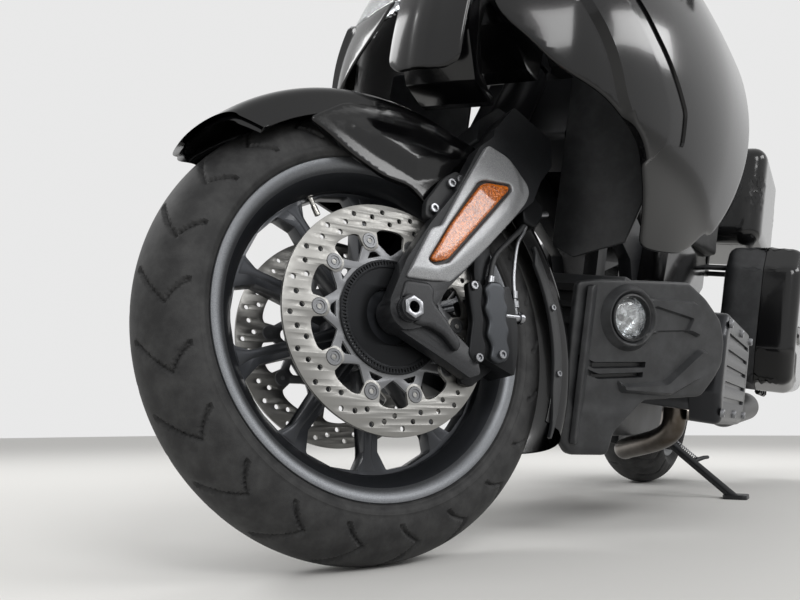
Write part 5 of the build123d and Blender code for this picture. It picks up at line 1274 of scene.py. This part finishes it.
def swollen(name, node, cap, seam, hold):
    """A CAD solid remeshed and run as cloth under pressure; the motion of a point is at most cap,
    in millimetres, and dies away towards the parts where hold says 0."""
    mesh = nodes[node].data.copy()
    piece = bpy.data.objects.new(name, mesh)
    bpy.context.scene.collection.objects.link(piece)
    mesh.materials.clear()
    mesh.materials.append(seat_vinyl)
    remesh = piece.modifiers.new("even", "REMESH")
    remesh.mode, remesh.voxel_size = "VOXEL", 0.0065
    smooth = piece.modifiers.new("soft", "SMOOTH")
    smooth.factor, smooth.iterations = 0.5, 10
    bpy.context.view_layer.update()
    even = bpy.data.meshes.new_from_object(piece.evaluated_get(bpy.context.evaluated_depsgraph_get()))
    piece.modifiers.clear()
    piece.data = even
    start = np.zeros(len(even.vertices) * 3)
    even.vertices.foreach_get("co", start)
    start = start.reshape(-1, 3)
    local = off_bike(start)
    pins = piece.vertex_groups.new(name="seams")
    pins.add(np.nonzero(seam(local))[0].tolist(), 1.0, "REPLACE")
    cloth = piece.modifiers.new("cloth", "CLOTH")
    cloth.settings.quality, cloth.settings.mass = 4, 0.3
    cloth.settings.use_pressure, cloth.settings.uniform_pressure_force = True, 4.0
    cloth.settings.tension_stiffness = cloth.settings.compression_stiffness = 12
    cloth.settings.vertex_group_mass = "seams"
    cloth.settings.effector_weights.gravity = 0
    for step in range(1, 21):
        bpy.context.scene.frame_set(step)
    blown = bpy.data.meshes.new_from_object(piece.evaluated_get(bpy.context.evaluated_depsgraph_get()))
    end = np.zeros(len(start) * 3)
    blown.vertices.foreach_get("co", end)
    piece.modifiers.clear()
    move = end.reshape(-1, 3) - start
    length = np.linalg.norm(move, axis=1)[:, None]
    share = cap / 1000 * np.tanh(length / (cap / 1000)) / np.maximum(length, 1e-9)
    even.vertices.foreach_set("co", (start + move * share * hold(local)[:, None]).ravel())
    even.polygons.foreach_set("use_smooth", np.ones(len(even.polygons), bool))
    even.update()
    bpy.context.scene.frame_set(1)
    even.materials.clear()
    even.materials.append(seat_vinyl)
    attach(piece, "root")
    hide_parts(node)
    return piece


def seat_seams(p):
    """The seams: across the seat at its step, along both edges of the middle, and round its foot."""
    across_seat = np.abs(p[:, 0] - 1385) < 5
    lengthwise = (np.abs(np.abs(p[:, 1]) - 96) < 4) & (p[:, 0] > 1040)
    return across_seat | lengthwise | (p[:, 2] < 745 + 0.03 * (p[:, 0] - 1000))


def back_seams(p):
    """The backrest's seams: one down each side and one across its upper third. Its rear face is
    held too."""
    return (np.abs(np.abs(p[:, 1]) - 105) < 4) | (np.abs(p[:, 2] - 1168) < 4) | (p[:, 0] > 1704)


swollen("seat_cover", "seat", SEAT_PAD, seat_seams, lambda p: np.clip((p[:, 2] - 748) / 25, 0, 1))
swollen("backrest_cover", "backrest", BACK_PAD, back_seams, lambda p: np.clip((1700 - p[:, 0]) / 20, 0, 1))


# Gloss black ABS side covers, black painted steel footrests, the rear fender's moulded arch and
# the swingarm, a casting painted silver
for node, name, width, material in (
        ("side_covers", "side_cover_mouldings", 6.0, gloss_black),
        ("footrests", "footrest_set", 1.5, leg_black), ("rear_fender", "rear_fender_arch", 1.5, moulded_abs),
        ("swingarm", "swingarm_casting", 5.0, silver_paint)):
    rounded(name, node, "root", width, material)

# Exhaust: two stainless pipes, bent and heat tinted, lead into long satin black cans, each with a
# rolled outlet
# Heat has tinted the steel from brown to grey in patches of some 11 cm
tinted_steel, tree, shader, place = finish("heat_tinted_steel", "#6d665e", Metallic=1.0, Roughness=0.3)
heat = add(tree, "TexNoise", Vector=place, Scale=9.0, Detail=4.0)
tint = add(tree, "ValToRGB", Fac=heat.outputs["Fac"])
tint.color_ramp.elements[0].position, tint.color_ramp.elements[0].color = 0.4, colour("#4a4239")
tint.color_ramp.elements[1].position, tint.color_ramp.elements[1].color = 0.62, colour("#8a8580")
tree.links.new(tint.outputs["Color"], shader.inputs["Base Color"])

# The heat paint's grain, about 1.7 mm wide, is barely raised
can_black, tree, shader, place = finish("satin_heat_paint", "#101011", Roughness=0.42)
can_grain = add(tree, "TexNoise", Vector=place, Scale=600.0, Detail=3.0)
can_bump = add(tree, "Bump", Height=can_grain.outputs["Fac"], Strength=0.15, Distance=0.0003)
tree.links.new(can_bump.outputs["Normal"], shader.inputs["Normal"])

EXHAUST_LINE = [(640, 285, 264), (640, 285, 236), (652, 276, 216), (690, 244, 194), (752, 178, 166),
                (800, 163, 160), (960, 148, 160), (1060, 138, 162), (1100, 136, 176), (1160, 138, 214),
                (1200, 141, 236), (1260, 150, 242), (1330, 166, 246), (1420, 246, 264), (1460, 255, 268),
                (1499, 255, 270)]
PIPE_RADIUS, PIPE_STEPS, PIPE_SIDES = 21.5, 90, 28
# The can's outline: how far along it each ring stands, and its radius, with the rolled outlet last
CAN_AT = np.array([0, 0.002, 0.03, 0.06, 0.075, 0.08, 0.3, 0.6, 0.9, 0.93, 0.94, 0.985, 1.0, 1.0, 0.985,
                   0.93, 0.93])
CAN_RADII = np.array([24, 30, 44, 48, 48.5, 50, 50, 50, 50, 50, 47, 46, 45, 41, 40, 39, 3.0])
CAN_SIDES = 56
for s, word in ((-1, "left"), (1, "right")):
    line = smooth_line([(x, s * y, z) for x, y, z in EXHAUST_LINE], PIPE_STEPS)
    points, faces = along(line, np.full(PIPE_STEPS, PIPE_RADIUS), PIPE_SIDES)
    pipe = new_piece(f"exhaust_pipe_{word}", on_bike(points), faces, tinted_steel, "root")
    start, end = np.array((1500, s * 255, 270.0)), np.array((2150, s * 255, 300.0))
    points, faces = along(start + (end - start) * np.linspace(0, 1, len(CAN_AT))[:, None], CAN_RADII,
                          CAN_SIDES)
    points = points.reshape(len(CAN_AT), CAN_SIDES, 3)
    points += ((CAN_AT - np.linspace(0, 1, len(CAN_AT)))[:, None] * (end - start))[:, None]
    can = new_piece(f"muffler_can_{word}", on_bike(points.reshape(-1, 3)), faces, can_black, "root")
    if s < 0:
        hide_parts("exhaust")
        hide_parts("mufflers")

# Side cases: two moulded ABS halves, joined below by two barrel hinges. The tub is plain; the gloss
# lid has a trim strip, a crease line, a raised lower bumper and a red reflector.
BLOCK_FACES = [(0, 1, 2, 3), (4, 5, 6, 7), (0, 1, 5, 4), (1, 2, 6, 5), (2, 3, 7, 6), (3, 0, 4, 7)]
HINGE_BEVEL, HINGE_RADII, HINGE_SIDES = 1, (5.5, 6.5, 6.5, 5.5), 20


def hinge_leaf(name, corners, material, body):
    """A small plate: four corners of one face, then the four behind them in the same order."""
    new_piece(name, on_bike(np.array(corners)), BLOCK_FACES, material, body, False)


def hinge_barrel(name, start, end, body):
    """A hinge barrel between two points, with a small bevel at each end."""
    start, end = np.array(start, float), np.array(end, float)
    length = np.linalg.norm(end - start)
    steps = np.array([0, HINGE_BEVEL, length - HINGE_BEVEL, length])[:, None]
    points, faces = along(start + steps * (end - start) / length, HINGE_RADII, HINGE_SIDES)
    new_piece(name, on_bike(points), faces, black_steel, body)


CASE_LINE = [(1560, 470), (1590, 375), (1700, 350), (2100, 370), (2165, 430), (2180, 600), (2150, 735),
             (2050, 785), (1640, 795), (1580, 720)]
STRIP_LINE = soft([(1622, 520), (1700, 502), (2118, 522), (2118, 556), (1700, 543), (1640, 558)], 10)
BUMPER_LINE = soft([(1600, 478), (1628, 402), (1710, 384), (2090, 402), (2135, 446), (2138, 490),
                    (1700, 470)], 16)
CASE_SPLIT, TUB_DEEP, LID_DEEP, CASE_WALL = 325, 110, 103, 4
CASE_PIN_Y, CASE_PIN_Z, CASE_LEAF_TOP = 326, 345, 366
RIDGE_TOP = soft([(1640, 690), (1900, 664), (2140, 668), (2138, 686), (1900, 682), (1642, 708)], 6)
# Reflecting cells about 4 mm wide are moulded into the back
red_acrylic, tree, shader, place = finish("red_acrylic", "#8c0d0a", Roughness=0.12, Coat_Weight=0.3)
facets = add(tree, "TexVoronoi", Vector=place, Scale=260.0)
facet_bump = add(tree, "Bump", Height=facets.outputs["Distance"], Strength=0.5, Distance=0.001)
tree.links.new(facet_bump.outputs["Normal"], shader.inputs["Normal"])


def case_ways(s, start, sign=1):
    """A case half's skin: u is x, v is z and its depth runs outwards from the split, or inwards."""
    return lambda p: on_bike(np.stack([p[..., 0], s * (start + sign * p[..., 2]), p[..., 1]], -1))


def case_lift(p):
    """The trim strip stands 6 mm proud, the bumper 4 mm, and a crease line runs above them."""
    return 6 * ramp(inside(p, STRIP_LINE), 4) + 4 * ramp(inside(p, BUMPER_LINE), 10) - 2.5 * ramp(
        inside(p, RIDGE_TOP), 6)


for s, word in ((-1, "left"), (1, "right")):
    tub = moulded(f"case_tub_{word}", CASE_LINE, TUB_DEEP, 30, CASE_WALL, case_ways(s, CASE_SPLIT, -1),
                  "root", cowl_abs, 14.0)
    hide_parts(f"case_{word}")
    lid = moulded(f"case_skin_{word}", CASE_LINE, LID_DEEP, 34, CASE_WALL, case_ways(s, CASE_SPLIT + 2),
                  f"case_lid_{word}", gloss_black, 11.0, case_lift, (),
                  [(STRIP_LINE, 4), (BUMPER_LINE, 10), (RIDGE_TOP, 6)])
    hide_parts(f"case_lid_{word}")

    def reflector_shape(u, v, distance, s=s):
        y = 433.5 - roll(distance, 1.5)
        return np.stack([u, s * y, v], -1), np.stack([u, s * 429 + 0 * u, v], -1)
    plate_line = soft([(1650, 420), (1730, 410), (1736, 440), (1656, 450)], 6)
    panel(f"case_reflector_{word}", [plate_line], 6.0, reflector_shape, on_bike, f"case_lid_{word}",
          red_acrylic)
    for x0, x1 in ((1780, 1820), (1920, 1960)):
        for a, b, body in ((x0, x1, "root"), (x0 - 22, x0 - 1, 0), (x1 + 1, x1 + 22, 0)):
            hinge_barrel(f"case_hinge_{word}_{a}", (a, s * CASE_PIN_Y, CASE_PIN_Z),
                         (b, s * CASE_PIN_Y, CASE_PIN_Z), body or f"case_lid_{word}")
            side = [(a + 2, CASE_PIN_Z), (b - 2, CASE_PIN_Z), (b - 2, CASE_LEAF_TOP), (a + 2, CASE_LEAF_TOP)]
            deep = (316, 322) if body else (329, 335)
            hinge_leaf(f"case_hinge_leaf_{word}_{a}", [(x, s * y, z) for y in deep for x, z in side],
                       black_steel, body or f"case_lid_{word}")

# Trunk: a tub and a lid, both of gloss black moulded ABS. Two barrel hinges on a plate at the
# front carry the lid, which has four holes in its top for a rack.
TRUNK_LINE = [(1725, -290), (2200, -290), (2200, 290), (1725, 290)]
LID_LINE = [(1741, -288), (2200, -288), (2200, 288), (1741, 288)]
LID_CREASE = soft([(1800, -210), (2120, -228), (2150, -150), (2156, 0), (2150, 150), (2120, 228), (1800, 210),
                   (1790, 0)], 60)


def trunk_ways(start, sign):
    """The trunk's skins lie flat: u is x, v is y and the depth runs up or down from the split."""
    return lambda p: on_bike(np.stack([p[..., 0], p[..., 1], start + sign * p[..., 2]], -1))


rack_holes = [circle(1962.5 + 80 * cos(a), 80 * sin(a), 3.3, 16) for a in np.radians([45, 135, 225, 315])]
tub = moulded("trunk_tub", soft(TRUNK_LINE, 60), 210, 45, 4, trunk_ways(1040, -1), "root", gloss_black, 14.0)
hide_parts("trunk")
lid = moulded("trunk_skin", soft(LID_LINE, 50), 125, 48, 4, trunk_ways(1042, 1), "trunk_lid", gloss_black,
              12.0, lambda p: -2.0 + 2.0 * ramp(inside(p, LID_CREASE), 10), rack_holes, [(LID_CREASE, 10)])
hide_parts("trunk_lid")
PLATE_LINE = ((-186, 960), (186, 960), (186, 1156), (-186, 1156))
TRUNK_PIN_X, TRUNK_PIN_Z = 1737, 1166
hinge_leaf("trunk_hinge_plate", [(x, y, z) for x in (1725, 1735) for y, z in PLATE_LINE], moulded_abs, "root")
for s in (-1, 1):
    for a, b, body in ((-19.5, 19.5, "root"), (-42, -21, "trunk_lid"), (21, 42, "trunk_lid")):
        low, high = s * 120 + a, s * 120 + b
        word = f"{low:.0f}".replace("-", "m")
        hinge_barrel(f"trunk_hinge_{word}", (TRUNK_PIN_X, low, TRUNK_PIN_Z),
                     (TRUNK_PIN_X, high, TRUNK_PIN_Z), body)
        arm = [(1737, 1160), (1737, 1167), (1749, 1167), (1749, 1160)]
        if body == "root":
            arm = [(1727, 1140), (1727, 1167), (1736, 1167), (1736, 1140)]
        hinge_leaf(f"trunk_hinge_arm_{word}", [(x, y, z) for y in (low + 1, high - 1) for x, z in arm],
                   black_steel, body)

# Tail lamps: red acrylic lenses with shallow moulded grooves and rounded edges, on the trunk's
# rear face
for s, word in ((-1, "left"), (1, "right")):
    def lamp_shape(u, v, distance, s=s):
        x = 2212 - roll(distance, 5.0) - 1.2 * ramp(2 - np.abs((v - 900) % 14 - 7), 2)
        return np.stack([x, s * u, v], -1), np.stack([2200.5 + 0 * u, s * u, v], -1)
    lamp = panel(f"tail_lamp_{word}", [soft([(122, 872), (248, 872), (248, 928), (122, 928)], 14)], 4.0,
                 lamp_shape, on_bike, "root", red_acrylic, 4.0)
    if s < 0:
        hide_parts("tail_lamps")

# Handlebar: a bent steel tube, painted black, with ribbed rubber grips over its ends and switch
# housings of grained ABS
rounded("handlebar_tube", "handlebar", "handlebar", 2.0, leg_black)
rounded("switch_housings", "controls", "handlebar", 2.0, moulded_abs)
# The rubber's skin is a little bumpy, some 2.4 mm from bump to bump
grip_rubber, tree, shader, place = finish("grip_rubber", "#131313", Roughness=0.8)
skin = add(tree, "TexNoise", Vector=place, Scale=420.0, Detail=4.0)
skin_bump = add(tree, "Bump", Height=skin.outputs["Fac"], Strength=0.3, Distance=0.0005)
tree.links.new(skin_bump.outputs["Normal"], shader.inputs["Normal"])
for s, word in ((-1, "left"), (1, "right")):
    start, end = np.array((700, s * 262, 1076.0)), np.array((790, s * 387, 1052.0))
    way = (end - start) / np.linalg.norm(end - start)
    steps = np.linspace(46, np.linalg.norm(end - start) + 5.5, 66)
    ribs = 16.2 + 0.8 * (np.arange(66) // 3 % 2)
    ribs[:2], ribs[-3:] = (15, 17), (17, 16, 12)
    points, faces = along(start + steps[:, None] * way, ribs, 32)
    grip = new_piece(f"grip_{word}", on_bar(points), faces, grip_rubber, "handlebar")
    if s < 0:
        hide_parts("grips")

# Stands: forged and welded steel, painted black. The side stand has a foot plate, a spur to push
# it with and a return spring; the centre stand has two legs and a cross tube.
STAND_PIVOT, STAND_FOOT = np.array((1240, -145, 182.0)), np.array((1205, -350, 57.0))
COIL_TURNS, COIL_POINTS, COIL_RADIUS, WIRE_RADIUS = 16, 480, 6.0, 1.4
rounded("side_stand_leg", "side_stand", "side_stand", 2.0, leg_black)
reach = STAND_FOOT - STAND_PIVOT
spur = [STAND_PIVOT + reach * 0.45, STAND_PIVOT + reach * 0.46 + (12, -6, 10), STAND_PIVOT + reach * 0.5
        + (40, -10, 22), STAND_PIVOT + reach * 0.52 + (62, -12, 26)]
points, faces = along(spur, [6, 6, 5, 4.5], 16)
new_piece("side_stand_spur", on_bike(points), faces, leg_black, "side_stand")
t = np.linspace(0, 1, COIL_POINTS)
spine = STAND_PIVOT + reach * (0.1 + 0.38 * t[:, None]) + (16, 0, 12)
across_way = np.cross(reach, (0, 0, 1.0))
across_way /= np.linalg.norm(across_way)
up_way = np.cross(across_way, reach / np.linalg.norm(reach))
wind = 2 * pi * COIL_TURNS * t[:, None]
coil = spine + COIL_RADIUS * (np.cos(wind) * across_way + np.sin(wind) * up_way)
points, faces = along(coil, np.full(COIL_POINTS, WIRE_RADIUS), 8)
new_piece("side_stand_spring", on_bike(points), faces, zinc_steel, "side_stand")
rounded("centre_stand_frame", "centre_stand", "centre_stand", 1.5, leg_black)
